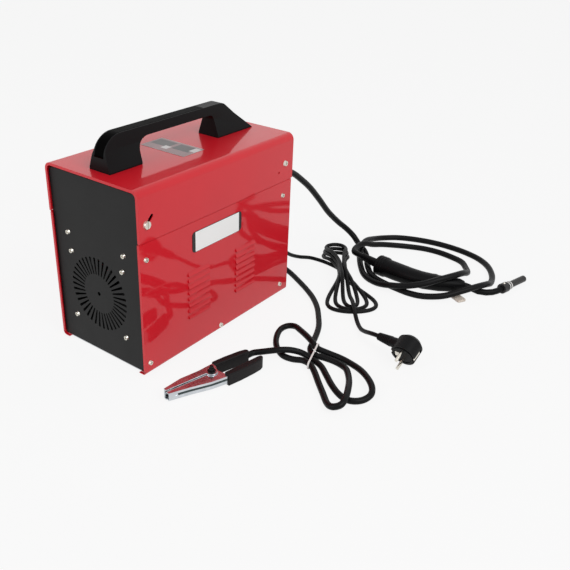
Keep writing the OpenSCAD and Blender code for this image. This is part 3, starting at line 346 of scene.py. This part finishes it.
control_black = finish("control_plastic", (0.011, 0.011, 0.012), 0.38, shine=0.3)
switch_red = finish("switch_red", (0.5, 0.01, 0.012), 0.25)
lamp_amber = finish("lamp_amber", (0.8, 0.25, 0.01), 0.12)
pot_grey = finish("pot_casing", (0.25, 0.25, 0.26), 0.4, metal=0.8)
dress(control_black, "range_rocker")
dress(switch_red, "power_rocker")
dress(lamp_amber, "thermal_lamp")
dress(pot_grey, "speed_pot")
housings = eased("rocker_housings", "switch_housings", 0.0008)
seat(housings, control_black, "machine", "black_plastic", "rocker_housings")
seat(eased("speed_knob", "knob_cap", 0.0006), control_black, "knob", "black_plastic", "speed_knob")

# ---- Cable glands ----
# Black moulded glands: a nut behind the front panel, a collar before it and a
# ribbed taper that keeps the cord from bending at its exit.


def strain_relief(name, node, cord_width, tail):
    """A gland whose ribbed nose tapers down onto its cord and ends tail past the node."""
    low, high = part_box(node)
    heart = ((low.x + high.x) / 2, high.y, (low.z + high.z) / 2)
    lip = cord_width / 2 - 0.0004
    neck = (high.x - low.x) / 2 - 0.004
    nut = neck + 0.0035
    collar, collar_edge = neck + 0.004, neck + 0.0034
    profile = [
        (lip, 0), (neck, 0), (neck, 0.0028), (nut, 0.0028), (nut, 0.0068), (neck, 0.0068),
        (neck, 0.008), (collar_edge, 0.008), (collar, 0.0088), (collar, 0.0132), (collar_edge, 0.014),
    ]
    start = 0.014
    length = high.y - low.y - start + tail
    ribs, rib_deep = 6, 0.0012
    for i in range(ribs):
        wide = cord_width / 2 + 0.0034 - 0.0022 * i / ribs
        near = start + length * i / ribs
        far = start + length * (i + 0.62) / ribs
        gap_end = start + length * (i + 1) / ribs
        profile += [(wide, near + 0.0002), (wide, far)]
        profile += [(wide - rib_deep, far + 0.0002), (wide - rib_deep, gap_end - 0.0001)]
    profile += [(lip, start + length), (lip, 0)]
    piece = turned(name, heart, (0, -1, 0), profile)
    soften(piece, 0.0002, 1)
    seat(piece, control_black, "machine", "black_plastic", node)


hose_width = 0.011
lead_width = 0.007
earth_width = 0.0095
strain_relief("torch_relief", "torch_gland", hose_width, 0.004)
strain_relief("mains_relief", "mains_gland", lead_width, 0.006)
strain_relief("earth_relief", "earth_gland", earth_width, 0.002)

# ---- Hood and handle ----
# The hood is one folded red sheet. The handle is moulded in satin black
# plastic and screwed on from below, with a darker inlay down its back.

handle_black = finish(
    "handle_plastic", (0.0025, 0.0025, 0.003), 0.4, mottle=0.1, grain=0.0012, relief=0.00005, shine=0.12
)
inlay_black = finish("handle_inlay", (0.0008, 0.0008, 0.0008), 0.4, mottle=0.05, grain=0.004, shine=0.01)
seat(eased("hood", "hood_sheet", 0.0004), red_paint, "hood_assembly", "red_paint", "hood")
moulding = eased("carry_handle", "handle_moulding", 0.0022, 3)
seat(moulding, handle_black, "hood_assembly", "black_plastic", "carry_handle")
low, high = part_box("carry_handle")
inlay_lift = 0.0003
inlay_wide = 0.0166
inlay_foot = 0.022
inlay_end = 0.105
heel = 0.032
inlay_line = [(0, high.y + inlay_lift, low.z + inlay_foot)]
for i in range(11):
    a = math.radians(6 + 84 * i / 10)
    reach_y = (heel + inlay_lift) * math.cos(a) - heel
    reach_z = (heel + inlay_lift) * math.sin(a) - heel
    inlay_line.append((0, high.y + reach_y, high.z + reach_z))
inlay_line.append((0, low.y + inlay_end, high.z + inlay_lift))
inlay = chain("handle_inlay", inlay_line)
bpy.ops.mesh.extrude_region_move(TRANSFORM_OT_translate={"value": (inlay_wide, 0, 0)})
bpy.ops.mesh.select_all(action="SELECT")
bpy.ops.transform.translate(value=(-inlay_wide / 2, 0, 0))
close_up(inlay)
wall = inlay.modifiers.new("wall", "SOLIDIFY")
wall.thickness = 0.0009
bpy.ops.object.modifier_apply(modifier=wall.name)
soften(inlay, 0.0003, 2)
seat(inlay, inlay_black, "hood_assembly", "black_plastic")

# ---- Plate and label ----
# A thin printed plate glued on the side and a film label on the hood, both
# without words. The plate is white between dark ends.


def prism(name, outline, run):
    """An outline filled and drawn out along run."""
    piece = chain(name, outline)
    bpy.ops.mesh.edge_face_add()
    bpy.ops.mesh.extrude_region_move(TRANSFORM_OT_translate={"value": run})
    return close_up(piece)


plate_print = finish("plate_print", (0.96, 0.96, 0.95), 0.3, mottle=0.01)
plate_dark = finish("plate_dark", (0.016, 0.015, 0.016), 0.3, mottle=0.02, shine=0.3)
label_film = finish("label_film", (0.33, 0.20, 0.21), 0.3, mottle=0.03)
label_grey = finish("label_grey", (0.11, 0.10, 0.10), 0.35, mottle=0.12, patch=0.002)
label_white = finish("label_white", (0.72, 0.68, 0.68), 0.35, mottle=0.03)
low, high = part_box("name_plate")
middle = (low + high) / 2
half_y, half_z = (high.y - low.y) / 2, (high.z - low.z) / 2
ring = [(high.x, middle.y + a, middle.z + b) for a, b in corner_loop(half_y, half_z, 0.006)]
plate = prism("side_plate", ring, (low.x - high.x, 0, 0))
soften(plate, 0.0002, 1)
seat(plate, plate_dark, "machine", "white_print", "name_plate")
dark_end, margin, print_lift = 0.0065, 0.0008, 0.00012
face_loop = corner_loop(half_y - dark_end, half_z - margin, 0.0006, 2)
ring = [(low.x, middle.y + a, middle.z + b) for a, b in face_loop]
face = prism("side_plate_face", ring, (-print_lift, 0, 0))
seat(face, plate_print, "machine", "white_print")

MM = 0.001
low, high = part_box("info_sticker")


def printed(name, x0, y0, x1, y1, lift, made, stands_for=()):
    """A thin printed field of the label, in millimetres from the label's front right corner."""
    wide, deep = (x1 - x0) / 2, (y1 - y0) / 2
    heart = Vector((high.x - (x0 + wide) * MM, low.y + (y0 + deep) * MM, low.z))
    ring = [heart + Vector((a, b, 0)) for a, b in corner_loop(wide * MM, deep * MM, 0.0006, 2)]
    seat(prism(name, ring, (0, 0, lift * MM)), made, "hood_assembly", "white_print", *stands_for)


printed("label_sheet", 0, 0, 86, 44.5, 0.3, label_film, ("info_sticker",))
printed("label_rim_front", 0, 0, 86, 1, 0.34, label_white)
printed("label_rim_rear", 0, 43.5, 86, 44.5, 0.34, label_white)
printed("label_rim_left", 85, 0, 86, 44.5, 0.34, label_white)
printed("label_field_1", 3, 4.5, 38, 27, 0.34, label_grey)
printed("label_field_2", 45, 4.5, 78, 27, 0.34, label_grey)
printed("label_patch_1", 31, 23, 43, 35, 0.38, label_white)
printed("label_patch_2", 74, 4, 85, 21, 0.38, label_white)

# ---- Torch hose ----
# An 11 mm rubber hose: down from its gland, twice round on the floor over the
# torch, and back into the boot of the torch.


def smooth_route(points, steps):
    """Points in metres of the curve through a route given in millimetres."""
    route = []
    for i in range(len(points) - 1):
        b, c = Vector(points[i]), Vector(points[i + 1])
        a = Vector(points[i - 1]) if i else 2 * b - c
        d = Vector(points[i + 2]) if i + 2 < len(points) else 2 * c - b
        for k in range(steps):
            t = k / steps
            bend = (2 * a - 5 * b + 4 * c - d) * t * t + (3 * b - 3 * c + d - a) * t * t * t
            route.append((2 * b + (c - a) * t + bend) * 0.5 * MM)
    route.append(Vector(points[-1]) * MM)
    return route


hose_fall = [
    (-50, -192, 201), (-50, -212, 200), (-50, -234, 190), (-50, -258, 173), (-50, -288, 149),
    (-50, -322, 116), (-51, -354, 82), (-56, -383, 54), (-65, -404, 34), (-77, -412, 20),
    (-89, -410, 10.5), (-101, -404, 6), (-114, -394, 5.7), (-127, -380, 5.7), (-139.5, -362, 5.7),
]
hose_turns = [
    (-150, -345, 5.7), (-162, -329, 5.7), (-176, -314, 5.7), (-194, -304, 5.7), (-215, -298.5, 5.7),
    (-240, -295, 5.7), (-265, -294, 5.7), (-290, -300, 6.5), (-317, -317, 10), (-339, -342, 17),
    (-354, -366, 20.5), (-361, -392, 17), (-359, -421, 7.5), (-349, -452, 5.7), (-330, -481, 5.7),
    (-305, -501, 5.7), (-274, -512, 5.7), (-240, -516, 5.7), (-205, -514, 5.7), (-170, -505, 5.7),
    (-138, -490, 5.7), (-117, -469, 6.5), (-108, -443, 11), (-107, -420, 16.5), (-109, -400, 18.2),
    (-114, -381, 13.5), (-124, -361, 7), (-137.2, -340.8, 5.7), (-150, -323.4, 5.7),
    (-164.2, -307, 5.7), (-182, -294.8, 6), (-204, -287, 8), (-228, -285, 13), (-254, -291, 18),
    (-280, -308, 24), (-300, -329, 31), (-315, -353, 34), (-321, -378, 31), (-319, -403, 21),
    (-311, -428, 11), (-299, -450, 6), (-282, -469, 5.7), (-256, -477, 5.7), (-228, -480, 5.7),
    (-200, -476, 5.7), (-173, -464, 6.2), (-152, -446, 9), (-137, -424, 14),
]
hose_back = [
    (-127, -403, 18.5), (-120, -385, 25), (-116, -367, 25.2), (-117.5, -352, 24.6),
    (-122.5, -342, 24), (-132, -338.8, 23.2), (-143, -337.8, 22.1),
]
hose_rubber = finish(
    "hose_rubber", (0.0035, 0.0035, 0.004), 0.4, mottle=0.12, grain=0.0012, relief=0.00006, shine=0.12
)
torch_hose = round_cord("torch_hose", smooth_route(hose_fall + hose_turns + hose_back, 6), hose_width)
seat(torch_hose, hose_rubber, "machine", "black_rubber", "torch_lead", "torch_coil")

# ---- Torch ----
# Two black shells joined into a curved handle, a trigger in its hollow side,
# and a bent neck with a nickel-plated nozzle.

torch_black = finish(
    "torch_plastic", (0.0025, 0.0025, 0.003), 0.42, mottle=0.1, grain=0.0012, relief=0.00008, shine=0.1
)
nozzle_metal = finish("nozzle_plate", (0.035, 0.034, 0.034), 0.38, metal=0.6, mottle=0.2, patch=0.006)
for half in ("lower", "upper"):
    shell = f"torch_shell_{half}"
    seat(eased(shell, f"handle_half_{half}", 0.0004, 2, 50), torch_black, "machine", "black_plastic", shell)
seat(eased("torch_trigger", "trigger_key", 0.001), torch_black, "trigger", "black_plastic", "torch_trigger")
neck = eased("torch_neck", "neck_tube", 0.0003, 1, 50)
seat(neck, torch_black, "machine", "black_plastic", "torch_neck")
seat(eased("torch_nozzle", "nozzle_tube", 0.0006), nozzle_metal, "machine", "alloy", "torch_nozzle")

ring_white = finish("ring_white", (0.8, 0.79, 0.77), 0.4, mottle=0.05)
nozzle_heart = Vector((-383.5, -408, 9.2)) * MM
nozzle_turn = math.radians(256)
nozzle_along = Vector((math.cos(nozzle_turn), math.sin(nozzle_turn), 0))
band_profile = [
    (0.0066, 0), (0.0073, 0), (0.0076, 0.0006), (0.0076, 0.0016), (0.0073, 0.0022), (0.0066, 0.0022),
    (0.0066, 0),
]
for name, far in (("nozzle_ring_1", 0.0165), ("nozzle_ring_2", 0.0215)):
    band = turned(name, nozzle_heart + far * nozzle_along, nozzle_along, band_profile)
    seat(band, ring_white, "machine", "white_nylon")
screw_spot = nozzle_heart + 0.006 * nozzle_along + Vector((0, 0, 0.0084))
screw_profile = [(0, 0), (0.002, 0), (0.002, 0.001), (0.0016, 0.0016), (0.0006, 0.0017), (0, 0.0011)]
collar_screw = turned("collar_screw", screw_spot, (0, 0, 1), screw_profile, 16)
seat(collar_screw, nickel, "machine", "nickel")

collar_heart = Vector((-179, -334.4, 18.4)) * MM
collar_along = (Vector((-196, -333, 18.2)) - Vector((-179, -334.4, 18.4))).normalized()
rib_profile = [
    (0.0172, -0.0014), (0.0183, -0.0009), (0.0187, 0), (0.0183, 0.0009), (0.0172, 0.0014),
    (0.0172, -0.0014),
]
for name, far in (("collar_rib_1", 0.003), ("collar_rib_2", 0.0085), ("collar_rib_3", 0.014)):
    rib = turned(name, collar_heart + far * collar_along, collar_along, rib_profile)
    seat(rib, torch_black, "machine", "black_plastic")

tape_beige = finish(
    "tape_beige", (0.70, 0.62, 0.54), 0.6, mottle=0.12, patch=0.003, grain=0.0006, relief=0.00008
)
tape_heart = Vector((-335.1, -338.5, 0.4)) * MM
tape_long = Vector((27.5, -15, 0)).normalized()
tape_wide = Vector((-tape_long.y, tape_long.x, 0))
tape_loop = corner_loop(0.0112, 0.0085, 0.003)
tape_thick = 0.0042
ring = [tape_heart + a * tape_long + b * tape_wide for a, b in tape_loop]
tab = prism("tape_tab", ring, (0, 0, tape_thick))
soften(tab, 0.0012, 3)
seat(tab, tape_beige, "machine", "white_nylon")

# ---- Mains lead and plug ----
# A 7 mm rubber lead folded into a hank of three turns, with an angled
# two-pin plug moulded on its end.

hank_heart = Vector((-131, -284))
hank_heading = math.radians(130.5)
hank_turns = 3
climb = 7.8
waist = 4.65


def ramp(x, a, b):
    """A smooth step from 0 at a to 1 at b."""
    t = min(1, max(0, (x - a) / (b - a)))
    return t * t * (3 - 2 * t)


def ray(angle):
    """Unit vector on the floor at an angle in radians."""
    return Vector((math.cos(angle), math.sin(angle)))


def hank_point(t):
    """A point of the hank after t turns; a turn has a lower and an upper lobe."""
    turn = min(math.floor(t + 1e-9), hank_turns)
    tau = 360 * (t - turn)
    s = math.sin(math.radians(tau))
    out = abs(s)
    if tau <= 180:
        length, spread = 140.3 - 8.2 * t, 110.2 - 38.4 * t
        rise = climb * (turn + ramp(tau, 36, 144)) * (1 - ramp(out, 0.34, 0.86))
    else:
        length, spread = 85.7 + 1.7 * t, 57.9 - 6.2 * t
        rise = climb * (turn + 1 - ramp(out, 0.45, 0.85))
    side = math.cos(math.radians(tau)) * (waist + spread * out * out)
    spot = hank_heart + s * length * ray(hank_heading) + side * ray(hank_heading + math.pi / 2)
    return (spot.x, spot.y, 3.9 + rise)


lead_out = [
    (-34, -192, 50), (-34, -212, 48), (-33, -238, 36), (-33, -262, 19), (-37, -286, 7),
    (-51, -301, 4), (-74, -304, 4), (-98, -302, 4), (-118, -297, 4),
]
lead_turns = [hank_point(i / 48) for i in range(48 * hank_turns + 1)]
lead_in = [
    (-149, -266, 27), (-166, -246, 18), (-181, -228, 9), (-193, -213, 8.6), (-206, -198, 11.9),
    (-219, -182, 11.9), (-232, -166, 8.5), (-245, -152, 4.6), (-258.5, -139, 5), (-272, -128, 10.5),
    (-284.5, -119.8, 16.8), (-295.5, -114.8, 20.8), (-304, -113, 22),
]
lead_route = smooth_route(lead_out + lead_turns[:1], 6)[:-1] + smooth_route(lead_turns, 2)[:-1]
lead_route += smooth_route(lead_turns[-1:] + lead_in, 6)
lead_rubber = finish(
    "lead_rubber", (0.0035, 0.0035, 0.004), 0.42, mottle=0.12, grain=0.001, relief=0.00005, shine=0.12
)
mains_cord = round_cord("mains_cord", lead_route, lead_width)
seat(mains_cord, lead_rubber, "machine", "black_rubber", "mains_lead", "mains_hank")

plug_heart = Vector((-0.356, -0.093, 0.019))
plug_turn = Matrix.Rotation(math.radians(-111.7), 3, "X")


def plug_spot(x, y, z):
    """A point of the plug's own frame, whose z runs out along the pins."""
    return plug_heart + plug_turn @ Vector((x, y, z))


seat(eased("plug_body", "plug_moulding", 0.001), lead_rubber, "machine", "black_rubber", "plug_body")
dress(nickel, "plug_pins")
clip_wide = 0.0044
clip_line = [(0.0168, -0.016), (0.0168, -0.001), (0.0178, 0.0004), (0.0188, -0.001), (0.0192, -0.016)]
for name, sign in (("plug_clip_left", -1), ("plug_clip_right", 1)):
    ring = [plug_spot(sign * x, -clip_wide / 2, z) for x, z in clip_line]
    clip = prism(name, ring, plug_turn @ Vector((0, clip_wide, 0)))
    soften(clip, 0.0003, 1)
    seat(clip, nickel, "machine", "nickel")
contact_loop = corner_loop(0.0038, 0.0044, 0.0008, 2)
ring = [plug_spot(0.0085 + x, y, -0.0002) for x, y in contact_loop]
contact = prism("plug_contact", ring, plug_turn @ Vector((0, 0, 0.0008)))
seat(contact, nickel, "machine", "nickel")
rim_profile = [
    (0.0147, -0.0004), (0.0147, 0.0008), (0.0155, 0.0012), (0.0163, 0.0008), (0.0163, -0.0004),
    (0.0147, -0.0004),
]
rim = turned("plug_rim", plug_heart, plug_turn @ Vector((0, 0, 1)), rim_profile)
seat(rim, lead_rubber, "machine", "black_rubber")

relief_start = Vector((-342, -108, 24.5)) * MM
relief_along = Vector((38, -5, -2.5)).normalized()
rib_pitch, rib_deep = 0.003, 0.0009
nose_profile = [(0.0045, 0.014), (0.0078, 0.014)]
for i in range(8):
    near, wide = 0.0145 + rib_pitch * i, 0.0082 - 0.00028 * i
    nose_profile += [(wide, near), (wide, near + 0.0017)]
    nose_profile += [(wide - rib_deep, near + 0.002), (wide - rib_deep, near + 0.0028)]
nose_profile += [(0.0035, 0.0386), (0.0035, 0.014), (0.0045, 0.014)]
nose = turned("plug_relief", relief_start, relief_along, nose_profile)
seat(nose, lead_rubber, "machine", "black_rubber")

# ---- Earth lead ----
# A 9.5 mm rubber lead folded into three lobes held by a nylon tie, ending in
# the earth clamp.

clamp_pivot = Vector((-165, 115, 0))
clamp_turn = math.radians(77)
clamp_along = Vector((math.cos(clamp_turn), math.sin(clamp_turn), 0))
clamp_across = Vector((-clamp_along.y, clamp_along.x, 0))
earth_end = clamp_pivot - 72 * clamp_along - 9.6 * clamp_across + Vector((0, 0, 10))
earth_in = [
    (-12, -192, 26), (-12, -208, 23), (-18, -223, 14), (-36, -231, 7), (-60, -224, 5.2),
    (-88, -209, 5.2), (-117, -192, 5.2), (-144, -173, 5.2), (-168, -150, 5.2), (-190, -121.5, 5.2),
    (-202.5, -103, 5.2), (-211, -86, 5.2), (-218.5, -67.5, 5.2), (-224.5, -51, 5.2),
    (-230, -38, 5.6), (-237.5, -30, 6.4),
]
earth_lobes = [
    (-245.9, -26.6, 6.8), (-262, -31, 6), (-277, -33, 5.4), (-291, -31, 5.4), (-303, -24.5, 6.4),
    (-320.5, -2, 9.5), (-334.5, 24, 14.5), (-343.5, 46, 15.6), (-344.5, 59, 13), (-335.5, 65.5, 9.5),
    (-323.5, 59.5, 6.2), (-305.5, 42.5, 5.2), (-287, 25.5, 5.2), (-270, 9.5, 5.8),
    (-255.3, -1.4, 6.8), (-240, -4.2, 6.2), (-225.5, 1.3, 5.2), (-210.6, 3.1, 5.2), (-196.1, -3.4, 5.2),
    (-180.8, -17.4, 5.2), (-168.3, -36.9, 5.2), (-161.8, -56, 5.2), (-165.5, -69.5, 6.2),
    (-178, -72, 9), (-194, -63, 12.6), (-212, -52.5, 15.4), (-230, -42, 16.6),
    (-242.9, -37.2, 12.5), (-260.8, -42, 8.4), (-278.7, -45.4, 6.2), (-297.7, -42.5, 6.6),
    (-319.1, -34.9, 8.4), (-338.9, -22, 10.2), (-354.2, -7.7, 10), (-361.2, 6.1, 8),
    (-358.6, 19.6, 5.8), (-350.3, 30.1, 5.2), (-338.6, 34.6, 5.2), (-322.8, 30, 5.2),
    (-304.5, 18.5, 5.2), (-286, 3.6, 5.2), (-268, -9.8, 5.8), (-249.2, -15.3, 6.8),
]
earth_out = [
    (-233.5, -15.6, 9.4), (-224, -10, 13), (-214.1, -1.8, 15.4), (-203.5, 8.5, 15.8),
    (-194, 16, 14.2), (-184.5, 22.8, 12), tuple(earth_end - 12 * clamp_along), tuple(earth_end),
]
earth_cord = round_cord("earth_cord", smooth_route(earth_in + earth_lobes + earth_out, 6), earth_width)
seat(earth_cord, hose_rubber, "machine", "black_rubber", "earth_lead", "earth_hank")

nylon = finish("white_nylon", (0.78, 0.78, 0.76), 0.4, mottle=0.03)
tie_heart = Vector((-247.5, -21, 0))
tie_turn = math.radians(106)
tie_across = Vector((math.cos(tie_turn), math.sin(tie_turn), 0))
tie_through = Vector((-tie_across.y, tie_across.x, 0))
tie_bends = [((-17.6, 13.2), 62, 200), ((-5.8, 6.8), 200, 270), ((21.6, 6.8), 270, 422)]
tie_reach = 5.6
strap_wide = 2.6
strap_line = []
for (across, up), first, last in tie_bends:
    for i in range(9):
        a = math.radians(first + (last - first) * i / 8)
        spot = (across + tie_reach * math.cos(a)) * tie_across + Vector((0, 0, up + tie_reach * math.sin(a)))
        strap_line.append((tie_heart + spot - strap_wide / 2 * tie_through) * MM)
strap = chain("tie_strap", strap_line + strap_line[:1])
bpy.ops.mesh.extrude_region_move(TRANSFORM_OT_translate={"value": tie_through * strap_wide * MM})
close_up(strap)
wall = strap.modifiers.new("wall", "SOLIDIFY")
wall.thickness = 0.0009
wall.offset = 1
bpy.ops.object.modifier_apply(modifier=wall.name)
soften(strap, 0.0002, 1)
seat(strap, nylon, "machine", "white_nylon", "cable_tie")

# ---- Earth clamp ----
# Two pressed jaws of zinc-plated sheet on one pin, with a torsion spring
# between them and rubber sleeves on their handles.

jaw_zinc = finish("jaw_zinc", (0.60, 0.63, 0.66), 0.22, metal=1, mottle=0.12, patch=0.012, grain=0.003)
sleeve_rubber = finish(
    "sleeve_rubber", (0.012, 0.0105, 0.011), 0.45, mottle=0.1, grain=0.0015, relief=0.00006, shine=0.125
)
spring_steel = finish("spring_steel", (0.3, 0.3, 0.31), 0.3, metal=1)
pin_black = finish("pin_black", (0.005, 0.005, 0.0055), 0.4, shine=0.2)
# Painted shade: a dark strip laid along the moving jaw's pressed groove.
painted_groove_shade = finish("painted_groove_shade", (0.05, 0.07, 0.07), 0.35, metal=0.8, mottle=0.2, patch=0.01)
seat(eased("clamp_fixed_jaw", "fixed_jaw", 0.0005), jaw_zinc, "machine", "zinc", "clamp_fixed_jaw")
seat(eased("clamp_moving_jaw", "moving_jaw", 0.0005), jaw_zinc, "clamp_jaw", "zinc", "clamp_moving_jaw")
seat(eased("clamp_pin", "jaw_pin", 0.0006), pin_black, "machine", "core_steel", "clamp_pin")


def clamp_spot(x, y, z):
    """A point of the clamp's own frame, in metres on the floor."""
    return (clamp_pivot + x * clamp_along + y * clamp_across + Vector((0, 0, z))) * MM


# The strip of painted shade runs along the groove of the moving jaw.
groove_low, groove_wide = 9.4, 0.0028
groove_line = [
    (62, 9.2), (45, 12.12), (14, 19.62), (-11, 22.5), (-11, 22), (14, 19.1), (45, 11.6), (62, 8.7)
]
ring = [clamp_spot(x, y, groove_low) for x, y in groove_line]
groove = prism("jaw_groove_painted_shade", ring, (0, 0, groove_wide))
seat(groove, painted_groove_shade, "clamp_jaw", "zinc")


def rubber_sleeve(name, node, body, outline):
    """A moulded sleeve: the outline drawn up from the floor, well rounded."""
    sleeve = prism(name, [clamp_spot(x, y, 0.3) for x, y in outline], (0, 0, 0.0194))
    soften(sleeve, 0.0032, 4)
    seat(sleeve, sleeve_rubber, body, "black_rubber", node)


fixed_outline = [
    (-12, -17.2), (-34, -17.6), (-60, -16.2), (-71, -14.2), (-74, -11.4), (-74, -7.2), (-70, -4.9),
    (-40, -6.2), (-12, -7),
]
moving_outline = [
    (-12, 24.6), (-34, 24.6), (-58, 23.2), (-73, 21.2), (-79.5, 18.2), (-81, 15), (-79.5, 12.2),
    (-74, 11.6), (-40, 13.4), (-12, 14.4),
]
rubber_sleeve("fixed_sleeve", "clamp_fixed_grip", "machine", fixed_outline)
rubber_sleeve("moving_sleeve", "clamp_moving_grip", "clamp_jaw", moving_outline)

clamp_low, clamp_high = 2, 16
jaw_sheet = 1.5
jaw_nest = jaw_sheet + 0.3
spring_wire = 1.6
spring_radius = 6
spring_turns = 2.5
spring_low = clamp_low + jaw_nest + jaw_sheet + 0.4 + spring_wire / 2
spring_pitch = (clamp_low + clamp_high / 2 - spring_low) * 2 / spring_turns
spring_line = [(-12, -12.5, spring_low), (-10.6, -11.5, spring_low), (-7, -7.6, spring_low)]
for i in range(int(24 * spring_turns) + 1):
    a = math.radians(270 + 15 * i)
    rise = spring_pitch * i / 24
    spring_line.append((spring_radius * math.cos(a), spring_radius * math.sin(a), spring_low + rise))
spring_top = spring_line[-1][2]
spring_line += [(-7, 7.6, spring_top), (-10.6, 11.5, spring_top), (-13, 16.5, spring_top)]
spring = round_cord("jaw_spring", [clamp_spot(*p) for p in spring_line], spring_wire * MM, 2)
seat(spring, spring_steel, "machine", "core_steel", "clamp_spring")

# ---- Studio ----
# A white floor that keeps a soft shadow under a plain white sky, two soft
# lamps and the camera.


def backdrop_ray(tree):
    """1 for rays that see the backdrop itself: camera, glossy and transmission rays."""
    path = tree.nodes.new("ShaderNodeLightPath")
    either = tree.nodes.new("ShaderNodeMath")
    either.operation = "MAXIMUM"
    third = tree.nodes.new("ShaderNodeMath")
    third.operation = "MAXIMUM"
    tree.links.new(path.outputs["Is Camera Ray"], either.inputs[0])
    tree.links.new(path.outputs["Is Glossy Ray"], either.inputs[1])
    tree.links.new(either.outputs[0], third.inputs[0])
    tree.links.new(path.outputs["Is Transmission Ray"], third.inputs[1])
    return third.outputs[0]


backdrop_white = (0.97, 0.97, 0.97, 1)
world = bpy.data.worlds.new("studio")
bpy.context.scene.world = world
world.use_nodes = True
sky = world.node_tree
ground = sky.nodes["Background"]
white = sky.nodes.new("ShaderNodeBackground")
white.inputs["Color"].default_value = backdrop_white
white.inputs["Strength"].default_value = 1.0
ground.inputs["Color"].default_value = (1, 1, 1, 1)
ground.inputs["Strength"].default_value = 0.45
swap = sky.nodes.new("ShaderNodeMixShader")
sky.links.new(backdrop_ray(sky), swap.inputs["Fac"])
sky.links.new(ground.outputs[0], swap.inputs[1])
sky.links.new(white.outputs[0], swap.inputs[2])
sky.links.new(swap.outputs[0], sky.nodes["World Output"].inputs["Surface"])

bpy.ops.mesh.primitive_plane_add(size=30, location=(0, 0, -0.0005))
floor = bpy.context.object
floor.name = "floor"
paper = bpy.data.materials.new("studio_paper")
paper.use_nodes = True
tree = paper.node_tree
matt = tree.nodes.new("ShaderNodeBsdfDiffuse")
matt.inputs["Color"].default_value = (0.86, 0.86, 0.86, 1)
glow = tree.nodes.new("ShaderNodeEmission")
glow.inputs["Color"].default_value = backdrop_white
share = tree.nodes.new("ShaderNodeMath")
share.operation = "MULTIPLY"
share.inputs[1].default_value = 0.91
blend = tree.nodes.new("ShaderNodeMixShader")
tree.links.new(backdrop_ray(tree), share.inputs[0])
tree.links.new(share.outputs[0], blend.inputs["Fac"])
tree.links.new(matt.outputs[0], blend.inputs[1])
tree.links.new(glow.outputs[0], blend.inputs[2])
tree.links.new(blend.outputs[0], tree.nodes["Material Output"].inputs["Surface"])
floor.data.materials.append(paper)


def soft_lamp(name, place, aim, size, power):
    """A square area lamp turned to a point."""
    lamp = bpy.data.lights.new(name, "AREA")
    lamp.shape = "SQUARE"
    lamp.size = size
    lamp.energy = power
    holder = bpy.data.objects.new(name, lamp)
    bpy.context.scene.collection.objects.link(holder)
    holder.location = place
    holder.rotation_euler = (Vector(aim) - Vector(place)).to_track_quat("-Z", "Y").to_euler()


soft_lamp("key_lamp", (-1.9, 0.3, 1.9), (-0.1, 0, 0.1), 1.4, 26)
soft_lamp("fill_lamp", (0.6, 2.2, 1.2), (0, 0, 0.15), 1.6, 14)

camera_data = bpy.data.cameras.new("camera")
camera_data.sensor_width = 36
camera_data.lens = 47.131
camera_data.shift_x = 0.0526
camera_data.shift_y = -0.0228
camera = bpy.data.objects.new("camera", camera_data)
bpy.context.scene.collection.objects.link(camera)
camera.location = (-0.739167, 0.773003, 0.626162)
camera.rotation_euler = [math.radians(angle) for angle in (62.7146, -1.2394, -142.057)]
bpy.context.scene.camera = camera
bpy.context.scene.view_settings.view_transform = "Standard"
